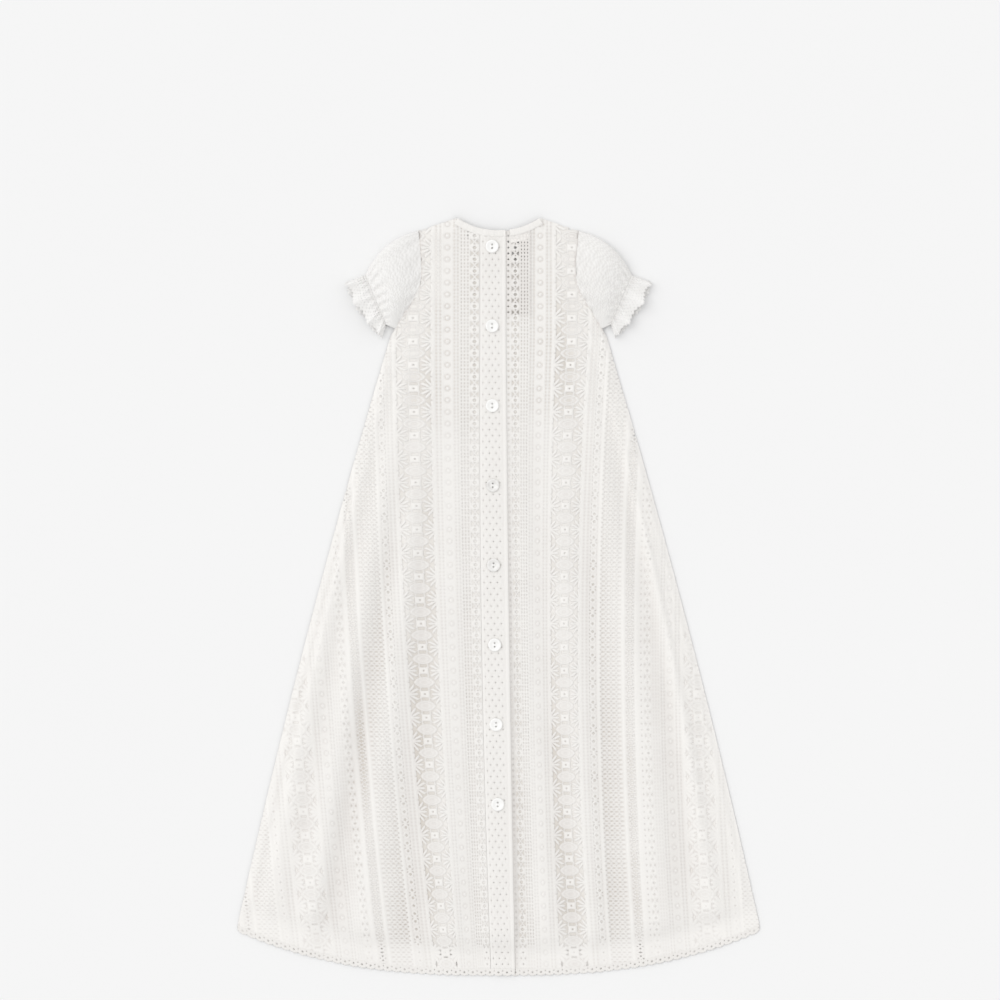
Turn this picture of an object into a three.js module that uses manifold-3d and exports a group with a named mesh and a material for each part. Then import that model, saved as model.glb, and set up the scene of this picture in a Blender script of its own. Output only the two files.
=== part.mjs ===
// Christening gown of striped cotton lace over a plain lining, laid flat with its buttoned back up.
// Millimetres: +X across the gown, +Y from hem to neck, +Z up from the surface that it lies on.
import * as THREE from "three";
import { mergeVertices } from "three/addons/utils/BufferGeometryUtils.js";
import Module from "manifold-3d";

const { clamp, lerp, smoothstep } = THREE.MathUtils;

// Cloth thicknesses, and the clearance between pieces at a seam
const LACE = 1.2;
const LINING = 1;
const SEAM = 0.3;

// Undersides of the flat layers, from the surface up
const FRONT_LINING_Z = LACE + SEAM;
const BACK_LINING_Z = FRONT_LINING_Z + LINING + SEAM;
const BACK_LACE_Z = BACK_LINING_Z + LINING + SEAM;
const SIDE_SEAM_Z = LACE + SEAM;
const OVERLAP_RISE = LACE + SEAM;

// Outline of the body
const NECK = { half: 49, top: 436.5, backDrop: 15, curve: 2.2 };
const FRONT_NECK = { half: 52, drop: 48, binding: 6, steps: 14, bindingEnd: 0.12 };
const LINING_NECK = { half: 58, drop: 54 };
const SHOULDER = { half: 92.5, y: 422 };
const UNDERARM = { half: 124.5, y: 300 };
const HEM = { half: 300, side: -376, centre: -426.5, curve: 2.6 };
const SIDE_MID = 219;

// Narrow pieces
const NECK_BINDING = { width: 7, thick: 1, lip: 0.5 };
const PLACKET_RAMP = 1;
const BUTTON = { radius: 7.5, thick: 2.5, hole: 1, holeSpread: 2.1, sides: 14, holeSides: 5 };
const BUTTON_ROW = { count: 8, top: 404, pitch: 91.5, offset: -0.8 };
const EDGING = { depth: 7, scallop: 1.5, pitch: 9.8, samples: 3 };

// Lace gaps and raised ovals of the daisy band
const DAISY = { repeat: 27, edgeMargin: 3, endMargin: 7, rowMargin: 19.2 };
const OVAL = { halfWidth: 11.8, halfHeight: 6, sides: 6, raise: 0.6 };
const PRISM_TOP = 60;

// Sleeves: a puffed ring at each of a few stations from the armhole to the cuff, then a frill
const CUFF = { top: [-153, 371], bottom: [-129, 314] };
const FRILL = { top: [-175, 363], bottom: [-134, 299.5], bulge: 5, wall: 1.6, waves: 8, samples: 4 };
const FRILL_WAVE = { height: 2.4, rings: 2 };
const SLEEVE = { wall: 1.2, rings: 6, halfRing: 12, end: 0.94, inset: 3, bulge: [-6.1, 7.3] };
const PUFF = { cuffTop: 13, loft: 15, fullness: 0.8, frillTop: 16.5, sideShare: 0.4, flatness: 1.4 };
const GATHER = { height: 1.1, fadeIn: 0.125, reach: 0.5 };

const LACE_MATERIAL = new THREE.MeshStandardMaterial({ color: 0xf0ebe5, roughness: 0.85, metalness: 0 });
const LINING_MATERIAL = new THREE.MeshStandardMaterial({ color: 0xf3eee6, roughness: 0.75, metalness: 0 });
const BUTTON_MATERIAL = new THREE.MeshStandardMaterial({ color: 0xe9e5de, roughness: 0.3, metalness: 0 });

// Rows of a short table as objects with named columns
const table = (columns, rows) =>
  rows.map((row) => Object.fromEntries(columns.map((name, i) => [name, row[i]])));

// Fold lines of the back from its left side to its right side: where each crosses the chest, the middle
// and the hem of the skirt, and how far it lifts off the layers below at those three places
const FOLD_LINES = table(
  ["name", "chest", "mid", "hem", "liftChest", "liftMid", "liftHem"],
  [
    ["left side", -UNDERARM.half, -SIDE_MID, -HEM.half, 0, 0, 0],
    ["left lining seam", -119, -210, -289, 0, 0, 0],
    ["left edge ridge", -115, -202, -270, 1, 5, 5],
    ["left edge trough", -108, -186, -246, 0.5, 2, 3],
    ["left outer ridge", -98, -164, -220, 2.5, 8, 7],
    ["left outer trough", -88, -139, -200, 2, 1.5, 1],
    ["left ridge", -76, -117, -160, 2.5, 7, 8],
    ["left daisy trough", -61.3, -89, -93, 2, 1.5, 1],
    ["left inner ridge", -42, -58, -50, 2.5, 5, 7.5],
    ["left inner trough", -31, -33, -24, 1.5, 3, 4.5],
    ["placket seam", -21.7, -19.5, -9, 2, 4.5, 6.5],
    ["underlap edge", -13.7, -11.5, -1, 2, 4.5, 6.5],
    ["placket edge", 8.5, 12.5, 19, 2, 4.5, 6.5],
    ["right placket trough", 13, 17.5, 25.5, 0.8, 1.6, 1.6],
    ["right inner ridge", 29, 34, 56, 2.5, 4.5, 7],
    ["right inner trough", 45, 54, 96, 2, 2, 0.8],
    ["right daisy ridge", 64.4, 84, 112, 2.5, 6.5, 7],
    ["right daisy trough", 76, 116, 133, 2, 2.5, 2],
    ["right ridge", 90, 150, 182, 2.5, 8, 8],
    ["right outer trough", 103, 183, 226, 0.5, 0.8, 2.5],
    ["right outer ridge", 110, 194, 249, 1.5, 6, 7],
    ["right edge trough", 115, 203, 271, 0.5, 2, 1.5],
    ["right lining seam", 119, 211, 289, 0, 0, 0],
    ["right side", UNDERARM.half, SIDE_MID, HEM.half, 0, 0, 0],
  ],
);

// Half-width between the armholes, at shares of the rise from underarm to shoulder
const ARMHOLE = table(
  ["rise", "half"],
  [
    [0.2, 110.5],
    [0.33, 101],
    [0.45, 93],
    [0.62, 89],
    [0.88, 91],
    [1, SHOULDER.half],
  ],
);

// Centre lines of the two daisy bands
const DAISY_BANDS = table(
  ["panel", "chest", "mid", "hem"],
  [
    ["left", -98, -87, -59],
    ["right", 84.5, 75.5, 88],
  ],
);

// Corners of one of the four slanting gaps round each small square of the daisy band
const GAP_CORNERS = table(
  ["across", "along"],
  [
    [5.3, 4.7],
    [8.1, 2.6],
    [10.7, 5.4],
    [8.7, 8.3],
  ],
);

// Stations from the hem up: the skirt's rows, with the lining's hem as the second, then the armhole's rows
const LINING_HEM_RISE = 0.04;
const SKIRT_ROWS = 11;
const skirtRise = (i) => lerp(LINING_HEM_RISE, 1, i / SKIRT_ROWS);
const STATIONS = [
  { part: "skirt", rise: 0 },
  ...Array.from({ length: SKIRT_ROWS + 1 }, (_, i) => ({ part: "skirt", rise: skirtRise(i) })),
  ...ARMHOLE.map((row) => ({ part: "bodice", ...row })),
];
const LINING_HEM_ROW = 1;
const UNDERARM_ROW = SKIRT_ROWS + 1;
const TOP_ROW = STATIONS.length - 1;
const SLIT_ROW = UNDERARM_ROW + 1;

const line = (name) => FOLD_LINES.findIndex((row) => row.name === name);
const LEFT_SIDE = line("left side");
const LEFT_LINING = line("left lining seam");
const LEFT_NECK = line("left inner ridge");
const PLACKET_SEAM = line("placket seam");
const UNDERLAP = line("underlap edge");
const PLACKET_EDGE = line("placket edge");
const RIGHT_NECK_START = line("right placket trough");
const RIGHT_NECK = line("right inner trough");
const RIGHT_LINING = line("right lining seam");
const RIGHT_SIDE = line("right side");

// Value on the curve through a hem, a middle and a chest value, at share v of the way up the skirt
function alongSkirt(hem, mid, chest, v) {
  return hem * (1 - v) * (1 - 2 * v) + mid * 4 * v * (1 - v) + chest * v * (2 * v - 1);
}

// Upper edge of the back: the neckline, then the shoulder's slope
function topEdge(x) {
  const reach = Math.abs(x);
  if (reach < NECK.half) return NECK.top - NECK.backDrop * (1 - (reach / NECK.half) ** NECK.curve);
  return lerp(NECK.top, SHOULDER.y, (reach - NECK.half) / (SHOULDER.half - NECK.half));
}

function skirtPoint(fold, v) {
  const x = alongSkirt(fold.hem, fold.mid, fold.chest, v);
  const side = alongSkirt(HEM.half, SIDE_MID, UNDERARM.half, v);
  const centreY = lerp(HEM.centre, UNDERARM.y, v);
  const sideY = lerp(HEM.side, UNDERARM.y, v);
  const y = lerp(centreY, sideY, Math.abs(x / side) ** HEM.curve);
  return { x, y, lift: Math.max(0, alongSkirt(fold.liftHem, fold.liftMid, fold.liftChest, v)) };
}

// Above the underarm the fold lines draw in with the armhole, and the placket's own lines run straight up
function bodiceX(fold, half) {
  const still = clamp(fold.chest, FOLD_LINES[PLACKET_SEAM].chest, FOLD_LINES[PLACKET_EDGE].chest);
  const share = (fold.chest - still) / (UNDERARM.half - Math.abs(still));
  return still + share * (half - Math.abs(still));
}

function bodicePoint(fold, station) {
  const top = topEdge(bodiceX(fold, SHOULDER.half));
  return {
    x: bodiceX(fold, station.half),
    y: lerp(UNDERARM.y, top, station.rise),
    lift: fold.liftChest * (1 - station.rise),
  };
}

const BACK = STATIONS.map((station) =>
  FOLD_LINES.map((fold) =>
    station.part === "skirt" ? skirtPoint(fold, station.rise) : bodicePoint(fold, station),
  ),
);

// Underside of the back lace: down at the side and shoulder seams and at the hem, on the lining elsewhere
function laceZ(row, column) {
  const point = BACK[row][column];
  const onSide = column === LEFT_SIDE || column === RIGHT_SIDE;
  const atSide = onSide && (row <= UNDERARM_ROW || row === TOP_ROW);
  const atShoulder = row === TOP_ROW && Math.abs(point.x) > NECK.half + LACE;
  const atHem = row < LINING_HEM_ROW;
  return (atSide || atShoulder || atHem ? SIDE_SEAM_Z : BACK_LACE_Z) + point.lift;
}

const laceUnderside = (row, column) => {
  const { x, y } = BACK[row][column];
  return new THREE.Vector3(x, y, laceZ(row, column));
};
const liningUnderside = (row, column) => {
  const { x, y, lift } = BACK[row][column];
  return new THREE.Vector3(x, y, BACK_LINING_Z + lift);
};

// Grid of points for a stretch of rows and columns
function stretch(pointAt, firstRow, lastRow, firstColumn, lastColumn) {
  const rows = [];
  for (let row = firstRow; row <= lastRow; row += 1) {
    const points = [];
    for (let column = firstColumn; column <= lastColumn; column += 1) points.push(pointAt(row, column));
    rows.push(points);
  }
  return rows;
}

const moved = (grid, x, y, z) => {
  const shift = new THREE.Vector3(x, y, z);
  return grid.map((row) => row.map((point) => point.clone().add(shift)));
};

function geometryFrom(positions, triangles) {
  const geometry = new THREE.BufferGeometry();
  geometry.setAttribute("position", new THREE.Float32BufferAttribute(positions, 3));
  geometry.setIndex(triangles);
  return geometry;
}

// Six times the signed volume of a closed mesh
function signedVolume(positions, triangles) {
  const corner = (i) => new THREE.Vector3().fromArray(positions, 3 * i);
  let sum = 0;
  for (let i = 0; i < triangles.length; i += 3) {
    sum += corner(triangles[i]).dot(corner(triangles[i + 1]).cross(corner(triangles[i + 2])));
  }
  return sum;
}

// Closed wall between an inner and an outer grid. A ring joins its last column to its first, and cells
// that keep turns down are left open.
function wall(inner, outer, { ring = false, keep = () => true } = {}) {
  const rows = inner.length;
  const columns = inner[0].length;
  const cellColumns = ring ? columns : columns - 1;
  const positions = [];
  const triangles = [];
  const indexOf = new Map();
  const at = (layer, row, column) => {
    const wrapped = column % columns;
    const key = `${layer},${row},${wrapped}`;
    if (!indexOf.has(key)) {
      indexOf.set(key, positions.length / 3);
      positions.push(...(layer ? outer : inner)[row][wrapped].toArray());
    }
    return indexOf.get(key);
  };
  const has = (row, column) => {
    if (row < 0 || row >= rows - 1) return false;
    if (ring) return keep(row, (column + columns) % columns);
    return column >= 0 && column < cellColumns && keep(row, column);
  };
  for (let row = 0; row < rows - 1; row += 1) {
    for (let column = 0; column < cellColumns; column += 1) {
      if (!has(row, column)) continue;
      const corners = [[row, column], [row, column + 1], [row + 1, column + 1], [row + 1, column]];
      const [a, b, c, d] = corners.map(([r, k]) => at(1, r, k));
      const [e, f, g, h] = corners.map(([r, k]) => at(0, r, k));
      triangles.push(a, b, c, a, c, d, e, g, f, e, h, g);
      if (!has(row - 1, column)) triangles.push(e, f, b, e, b, a);
      if (!has(row, column + 1)) triangles.push(f, g, c, f, c, b);
      if (!has(row + 1, column)) triangles.push(g, h, d, g, d, c);
      if (!has(row, column - 1)) triangles.push(h, e, a, h, a, d);
    }
  }
  if (signedVolume(positions, triangles) < 0) triangles.reverse();
  return geometryFrom(positions, triangles);
}

// Flat cloth of one thickness inside an outline
function flatCloth(outline, thickness, z) {
  const shape = new THREE.Shape(outline.map((p) => new THREE.Vector2(p.x, p.y)));
  const geometry = new THREE.ExtrudeGeometry(shape, { depth: thickness, bevelEnabled: false });
  return geometry.translate(0, 0, z);
}

function ellipse(halfWidth, halfHeight, sides, centreX, centreY) {
  return Array.from({ length: sides }, (_, i) => {
    const turn = (2 * Math.PI * i) / sides;
    return new THREE.Vector2(centreX + halfWidth * Math.cos(turn), centreY + halfHeight * Math.sin(turn));
  });
}

const wasm = await Module();
wasm.setup();

function solidFrom(geometry) {
  const bare = geometry.clone();
  bare.deleteAttribute("normal");
  bare.deleteAttribute("uv");
  const merged = mergeVertices(bare);
  const vertProperties = new Float32Array(merged.attributes.position.array);
  const triVerts = new Uint32Array(merged.index.array);
  return new wasm.Manifold(new wasm.Mesh({ numProp: 3, vertProperties, triVerts }));
}

function geometryOf(solid) {
  const mesh = solid.getMesh();
  return geometryFrom(Array.from(mesh.vertProperties), Array.from(mesh.triVerts));
}

// Half-width of the back at a height: the side seam below the underarm, the armhole above it
function halfWidthAt(y) {
  const edge = BACK.map((row) => row[RIGHT_SIDE]);
  const above = edge.findIndex((p) => p.y >= y);
  if (above <= 0) return 0;
  const [low, high] = [edge[above - 1], edge[above]];
  return lerp(low.x, high.x, (y - low.y) / (high.y - low.y));
}

const daisyX = (band, y) => {
  const v = Math.min(1, (y - HEM.centre) / (UNDERARM.y - HEM.centre));
  return alongSkirt(band.hem, band.mid, band.chest, v);
};

// Heights of the small squares of the daisy band, one to each repeat
function squareHeights() {
  const low = HEM.centre + DAISY.rowMargin;
  const count = Math.floor((SHOULDER.y - low) / DAISY.repeat);
  return Array.from({ length: count }, (_, i) => low + i * DAISY.repeat);
}

const insidePanel = (p) =>
  Math.abs(p.x) < halfWidthAt(p.y) - DAISY.edgeMargin && p.y < topEdge(p.x) - DAISY.endMargin;

// Outlines of the slanting gaps in one panel's daisy band
function daisyGaps(band) {
  const gaps = [];
  for (const y of squareHeights()) {
    for (const across of [-1, 1]) {
      for (const along of [-1, 1]) {
        const corners = GAP_CORNERS.map((corner) => {
          const cornerY = y + along * corner.along;
          return new THREE.Vector2(daisyX(band, cornerY) + across * corner.across, cornerY);
        });
        if (corners.every(insidePanel)) gaps.push(corners);
      }
    }
  }
  return gaps;
}

// Outlines of the raised ovals between the squares
function daisyOvals(band) {
  return squareHeights()
    .map((y) => y + DAISY.repeat / 2)
    .map((y) => ellipse(OVAL.halfWidth, OVAL.halfHeight, OVAL.sides, daisyX(band, y), y))
    .filter((outline) => outline.every(insidePanel));
}

// Upright prisms on a set of outlines
function prisms(outlines) {
  return wasm.Manifold.union(outlines.map((outline) => solidFrom(flatCloth(outline, PRISM_TOP, 0))));
}

// Lace panel of the back with its daisy band raised and cut through
function backPanel(firstColumn, lastColumn, band) {
  const inner = stretch(laceUnderside, 0, TOP_ROW, firstColumn, lastColumn);
  const outer = moved(inner, 0, 0, LACE);
  const raised = wall(moved(inner, 0, 0, OVAL.raise), moved(outer, 0, 0, OVAL.raise));
  const ovals = solidFrom(raised).intersect(prisms(daisyOvals(band)));
  return geometryOf(solidFrom(wall(inner, outer)).add(ovals).subtract(prisms(daisyGaps(band))));
}

// The slit in the lining, beside the placket and up to the neck band
function inLining(row, column) {
  const inSlit = column >= PLACKET_EDGE && column < RIGHT_NECK && row >= SLIT_ROW;
  return !inSlit;
}

function backLining() {
  const inner = stretch(liningUnderside, LINING_HEM_ROW, TOP_ROW - 1, LEFT_LINING, RIGHT_LINING);
  const keep = (row, column) => inLining(row + LINING_HEM_ROW, column + LEFT_LINING);
  return wall(inner, moved(inner, 0, 0, LINING), { keep });
}

function liningNeckBand(firstColumn, lastColumn) {
  const inner = moved(stretch(liningUnderside, TOP_ROW - 1, TOP_ROW, firstColumn, lastColumn), 0, SEAM, 0);
  return wall(inner, moved(inner, 0, 0, LINING));
}

// Placket: sewn to the left back along its seam, then lapped over the right back's edge
const PLACKET_UNDERSIDE = STATIONS.map((_, row) => {
  const seam = laceUnderside(row, PLACKET_SEAM);
  const ramp = laceUnderside(row, UNDERLAP);
  const edge = laceUnderside(row, PLACKET_EDGE);
  seam.x += SEAM;
  ramp.x -= PLACKET_RAMP;
  ramp.z += OVERLAP_RISE;
  edge.z += OVERLAP_RISE;
  return [seam, ramp, edge];
});

const buttonPlacket = () => wall(PLACKET_UNDERSIDE, moved(PLACKET_UNDERSIDE, 0, 0, LACE));

// Round button with two thread holes, resting on the placket
function placketButton(y) {
  const row = PLACKET_UNDERSIDE.findIndex((points) => points[2].y > y);
  const below = PLACKET_UNDERSIDE[row - 1];
  const above = PLACKET_UNDERSIDE[row];
  const share = (y - below[2].y) / (above[2].y - below[2].y);
  const seamX = lerp(below[0].x, above[0].x, share);
  const edgeX = lerp(below[2].x, above[2].x, share);
  const shape = new THREE.Shape(ellipse(BUTTON.radius, BUTTON.radius, BUTTON.sides, 0, 0));
  for (const side of [-1, 1]) {
    const hole = ellipse(BUTTON.hole, BUTTON.hole, BUTTON.holeSides, 0, side * BUTTON.holeSpread);
    shape.holes.push(new THREE.Path(hole));
  }
  const geometry = new THREE.ExtrudeGeometry(shape, { depth: BUTTON.thick, bevelEnabled: false });
  const z = Math.max(below[2].z, above[2].z) + LACE + SEAM;
  return geometry.translate((seamX + edgeX) / 2 + BUTTON_ROW.offset, y, z);
}

// Folded binding along an edge: a flange on the lace, from its own points, and a lip over its edge
function binding(edge, below) {
  const face = LACE + SEAM;
  const { width, thick, lip } = NECK_BINDING;
  const sections = edge.map((point, i) => {
    const ahead = edge[Math.min(i + 1, edge.length - 1)];
    const behind = edge[Math.max(i - 1, 0)];
    const out = new THREE.Vector3(behind.y - ahead.y, ahead.x - behind.x, 0).normalize();
    const onLace = point.clone().lerp(below[i], width / point.distanceTo(below[i]));
    const over = (away, up) => point.clone().addScaledVector(out, away).setZ(point.z + up);
    const raised = (up) => onLace.clone().setZ(onLace.z + up);
    return {
      inner: [raised(face), over(lip, face), over(lip, 0)],
      outer: [raised(face + thick), over(lip + thick, face + thick), over(lip + thick, 0)],
    };
  });
  return wall(sections.map((s) => s.inner), sections.map((s) => s.outer));
}

function neckBindingLeft() {
  const rowAt = (row) => {
    const onLace = stretch(laceUnderside, row, row, LEFT_NECK - 1, PLACKET_SEAM)[0];
    const [, ramp, edge] = PLACKET_UNDERSIDE[row];
    return [...onLace, ramp, edge];
  };
  return binding(rowAt(TOP_ROW), rowAt(TOP_ROW - 1));
}

function neckBindingRight() {
  const rowAt = (row) => stretch(laceUnderside, row, row, RIGHT_NECK_START, RIGHT_NECK + 1)[0];
  return binding(rowAt(TOP_ROW), rowAt(TOP_ROW - 1));
}

// Half ellipse of a front neckline, from its right end to its left end
function frontNeck(half, drop, end = 0) {
  return Array.from({ length: FRONT_NECK.steps + 1 }, (_, i) => {
    const turn = Math.PI * lerp(end, 1 - end, i / FRONT_NECK.steps);
    return new THREE.Vector2(half * Math.cos(turn), topEdge(FRONT_NECK.half) - drop * Math.sin(turn));
  });
}

function frontPanel() {
  const rows = BACK.slice(1);
  const right = rows.map((row) => row[RIGHT_SIDE]);
  const left = rows.map((row) => row[LEFT_SIDE]).reverse();
  const neck = frontNeck(FRONT_NECK.half, FRONT_NECK.drop);
  return flatCloth([...BACK[0], ...right, ...neck, ...left], LACE, 0);
}

function frontLining() {
  const rows = BACK.slice(LINING_HEM_ROW + 1, TOP_ROW);
  const hem = BACK[LINING_HEM_ROW].slice(LEFT_LINING, RIGHT_LINING + 1);
  const right = rows.map((row) => row[RIGHT_LINING]);
  const left = rows.map((row) => row[LEFT_LINING]).reverse();
  const neck = frontNeck(LINING_NECK.half, LINING_NECK.drop, FRONT_NECK.bindingEnd);
  return flatCloth([...hem, ...right, ...neck, ...left], LINING, FRONT_LINING_Z);
}

function neckBindingFront() {
  const { half, drop, binding: width, bindingEnd } = FRONT_NECK;
  const sewn = frontNeck(half - SEAM, drop - SEAM, bindingEnd);
  const free = frontNeck(half - width, drop - width, bindingEnd).reverse();
  return flatCloth([...sewn, ...free], LACE, 0);
}

function hemEdgingFront() {
  const below = (gap) => BACK[0].map((p) => new THREE.Vector2(p.x, p.y - gap));
  return flatCloth([...below(EDGING.depth).reverse(), ...below(SEAM)].reverse(), LACE, 0);
}

// Point at distance x along a row of points that runs in +X
function onRow(points, x) {
  const next = Math.max(1, points.findIndex((p) => p.x >= x));
  const [a, b] = [points[next - 1], points[next]];
  return a.clone().lerp(b, (x - a.x) / (b.x - a.x));
}

// Scalloped edging under a stretch of the hem
function hemEdging(hem) {
  const start = hem[0].x;
  const length = hem.at(-1).x - start;
  const steps = Math.round(length / EDGING.pitch) * EDGING.samples;
  const inner = [[], []];
  for (let i = 0; i <= steps; i += 1) {
    const top = onRow(hem, start + (length * i) / steps);
    const loop = Math.abs(Math.sin((Math.PI * i) / EDGING.samples));
    const depth = EDGING.depth + EDGING.scallop * loop;
    inner[0].push(new THREE.Vector3(top.x, top.y - depth, top.z));
    inner[1].push(new THREE.Vector3(top.x, top.y - SEAM, top.z));
  }
  return wall(inner, moved(inner, 0, 0, LACE));
}

function hemEdgingLeft() {
  const onLace = stretch(laceUnderside, 0, 0, LEFT_SIDE, PLACKET_SEAM)[0];
  return hemEdging([...onLace, ...PLACKET_UNDERSIDE[0]]);
}

function hemEdgingRight() {
  const onLace = stretch(laceUnderside, 0, 0, UNDERLAP, RIGHT_SIDE)[0];
  const start = onRow(onLace, PLACKET_UNDERSIDE[0][2].x + SEAM);
  return hemEdging([start, ...onLace.filter((p) => p.x > start.x)]);
}

// Left armhole from shoulder to underarm, moved off the panels' edge
function armhole(share) {
  const edge = BACK.slice(UNDERARM_ROW).map((row) => row[LEFT_SIDE]).reverse();
  const place = share * SLEEVE.end * (edge.length - 1);
  const [a, b] = edge.slice(Math.floor(place));
  const along = new THREE.Vector2(b.x - a.x, b.y - a.y);
  const point = new THREE.Vector2(a.x, a.y).addScaledVector(along, place % 1);
  along.normalize();
  return point.add(new THREE.Vector2(along.y, -along.x).multiplyScalar(SEAM));
}

const between = (ends, share) =>
  new THREE.Vector2(...ends.top).lerp(new THREE.Vector2(...ends.bottom), share);

// Place on the left sleeve in plan: t from armhole to cuff, share from its upper to its lower end
function sleevePlan(t, share) {
  const bulge = 4 * t * (1 - t) * (1 - share) ** 2;
  const [bulgeX, bulgeY] = SLEEVE.bulge;
  return armhole(share)
    .lerp(between(CUFF, share), t)
    .add(new THREE.Vector2(bulgeX * bulge, bulgeY * bulge));
}

// Place on the left frill in plan, from just outside the cuff to its free edge
function frillPlan(t, share) {
  const out = new THREE.Vector2(CUFF.bottom[1] - CUFF.top[1], CUFF.top[0] - CUFF.bottom[0]).normalize();
  const bulge = FRILL.bulge * t * 4 * share * (1 - share);
  return between(CUFF, share)
    .lerp(between(FRILL, share), t)
    .addScaledVector(out, SEAM + bulge);
}

// Closed ring of a flattened tube at one station. It goes along its upper side and back along its flat
// underside; inset draws it in for the inner face of the wall.
function flatRing({ plan, half, height, waveAt, wallThick, inset }) {
  const length = plan(0).distanceTo(plan(1));
  const margin = inset / length;
  const sideZ = height * PUFF.sideShare;
  const top = height - (inset ? wallThick : 0);
  const low = inset ? wallThick : 0;
  const points = [];
  for (let i = 0; i < 2 * half; i += 1) {
    const upper = i <= half;
    const share = upper ? i / half : (2 * half - i) / half;
    const round = Math.sqrt(2 * Math.sqrt(share * (1 - share)));
    const flat = upper ? lerp(sideZ, top, round) : lerp(sideZ, low, Math.min(1, PUFF.flatness * round));
    const place = plan(lerp(margin, 1 - margin, share));
    points.push(new THREE.Vector3(place.x, place.y, flat + waveAt(i, share, upper) * round));
  }
  return points;
}

// Tube of rings from t = 0 to 1, on the left or mirrored to the right
function flatTube({ side, rings, ringAt }) {
  const mirrored = (points) => points.map((p) => new THREE.Vector3(-side * p.x, p.y, p.z));
  const stations = Array.from({ length: rings + 1 }, (_, i) => i / rings);
  const inner = stations.map((t) => mirrored(ringAt(t, SLEEVE.inset)));
  const outer = stations.map((t) => mirrored(ringAt(t, 0)));
  return wall(inner, outer, { ring: true });
}

function puffSleeve(side) {
  const armholeTop = BACK_LACE_Z + LACE;
  const ringAt = (t, inset) => {
    const fromEnd = Math.min(t, 1 - t);
    const gathered = 1 - smoothstep(fromEnd, 0, GATHER.reach);
    const depth = GATHER.height * gathered * Math.min(1, fromEnd / GATHER.fadeIn);
    return flatRing({
      plan: (share) => sleevePlan(t, share),
      half: SLEEVE.halfRing,
      height: lerp(armholeTop, PUFF.cuffTop, t) + PUFF.loft * Math.sin(Math.PI * t) ** PUFF.fullness,
      waveAt: (i, share, upper) => (upper && i % 2 ? -depth : 0),
      wallThick: SLEEVE.wall,
      inset,
    });
  };
  return flatTube({ side, rings: SLEEVE.rings, ringAt });
}

function cuffFrill(side) {
  const ringAt = (t, inset) =>
    flatRing({
      plan: (share) => frillPlan(t, share),
      half: FRILL.waves * FRILL.samples,
      height: lerp(PUFF.cuffTop, PUFF.frillTop, t),
      waveAt: (i, share, upper) => {
        const wave = Math.sin(2 * Math.PI * FRILL.waves * share);
        return FRILL_WAVE.height * t * (upper ? wave : (1 + wave) / 2);
      },
      wallThick: FRILL.wall,
      inset,
    });
  return flatTube({ side, rings: FRILL_WAVE.rings, ringAt });
}

const gown = new THREE.Group();

function addPiece(name, geometry, material) {
  const mesh = new THREE.Mesh(geometry, material);
  mesh.name = name;
  gown.add(mesh);
}

const [leftBand, rightBand] = DAISY_BANDS;
addPiece("front_panel", frontPanel(), LACE_MATERIAL);
addPiece("front_lining", frontLining(), LINING_MATERIAL);
addPiece("back_lining", backLining(), LINING_MATERIAL);
addPiece("lining_neck_band_left", liningNeckBand(LEFT_NECK, PLACKET_EDGE), LINING_MATERIAL);
addPiece("lining_neck_band_right", liningNeckBand(RIGHT_NECK_START, RIGHT_NECK), LINING_MATERIAL);
addPiece("back_panel_left", backPanel(LEFT_SIDE, PLACKET_SEAM, leftBand), LACE_MATERIAL);
addPiece("back_panel_right", backPanel(UNDERLAP, RIGHT_SIDE, rightBand), LACE_MATERIAL);
addPiece("button_placket", buttonPlacket(), LACE_MATERIAL);
for (let i = 0; i < BUTTON_ROW.count; i += 1) {
  addPiece(`button_${i + 1}`, placketButton(BUTTON_ROW.top - i * BUTTON_ROW.pitch), BUTTON_MATERIAL);
}
addPiece("neck_binding_left", neckBindingLeft(), LACE_MATERIAL);
addPiece("neck_binding_right", neckBindingRight(), LACE_MATERIAL);
addPiece("neck_binding_front", neckBindingFront(), LACE_MATERIAL);
addPiece("hem_edging_left", hemEdgingLeft(), LACE_MATERIAL);
addPiece("hem_edging_right", hemEdgingRight(), LACE_MATERIAL);
addPiece("hem_edging_front", hemEdgingFront(), LACE_MATERIAL);
for (const [name, side] of [["left", -1], ["right", 1]]) {
  addPiece(`sleeve_${name}`, puffSleeve(side), LACE_MATERIAL);
  addPiece(`cuff_frill_${name}`, cuffFrill(side), LACE_MATERIAL);
}

// The origin is under the middle of the gown, on the surface that it lies on
const box = new THREE.Box3().setFromObject(gown);
const centre = box.getCenter(new THREE.Vector3());
gown.position.set(-centre.x, -centre.y, -box.min.z);

export default gown;
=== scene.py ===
import math

import bpy
import numpy as np
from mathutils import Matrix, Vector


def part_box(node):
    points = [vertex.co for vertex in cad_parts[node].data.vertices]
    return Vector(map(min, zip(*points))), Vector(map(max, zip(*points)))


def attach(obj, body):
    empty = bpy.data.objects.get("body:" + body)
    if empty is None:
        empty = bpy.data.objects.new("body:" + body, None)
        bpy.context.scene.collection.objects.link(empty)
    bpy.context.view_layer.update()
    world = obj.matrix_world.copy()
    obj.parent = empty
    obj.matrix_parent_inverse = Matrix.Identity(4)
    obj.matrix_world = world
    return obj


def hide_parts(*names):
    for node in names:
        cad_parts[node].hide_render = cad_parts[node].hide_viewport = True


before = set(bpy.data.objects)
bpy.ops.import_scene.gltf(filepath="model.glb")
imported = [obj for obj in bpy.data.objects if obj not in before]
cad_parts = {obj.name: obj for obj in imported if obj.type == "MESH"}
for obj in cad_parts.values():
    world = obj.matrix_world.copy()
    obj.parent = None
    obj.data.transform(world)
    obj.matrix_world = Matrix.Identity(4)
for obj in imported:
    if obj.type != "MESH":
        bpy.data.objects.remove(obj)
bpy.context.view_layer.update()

MM = 0.001

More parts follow.
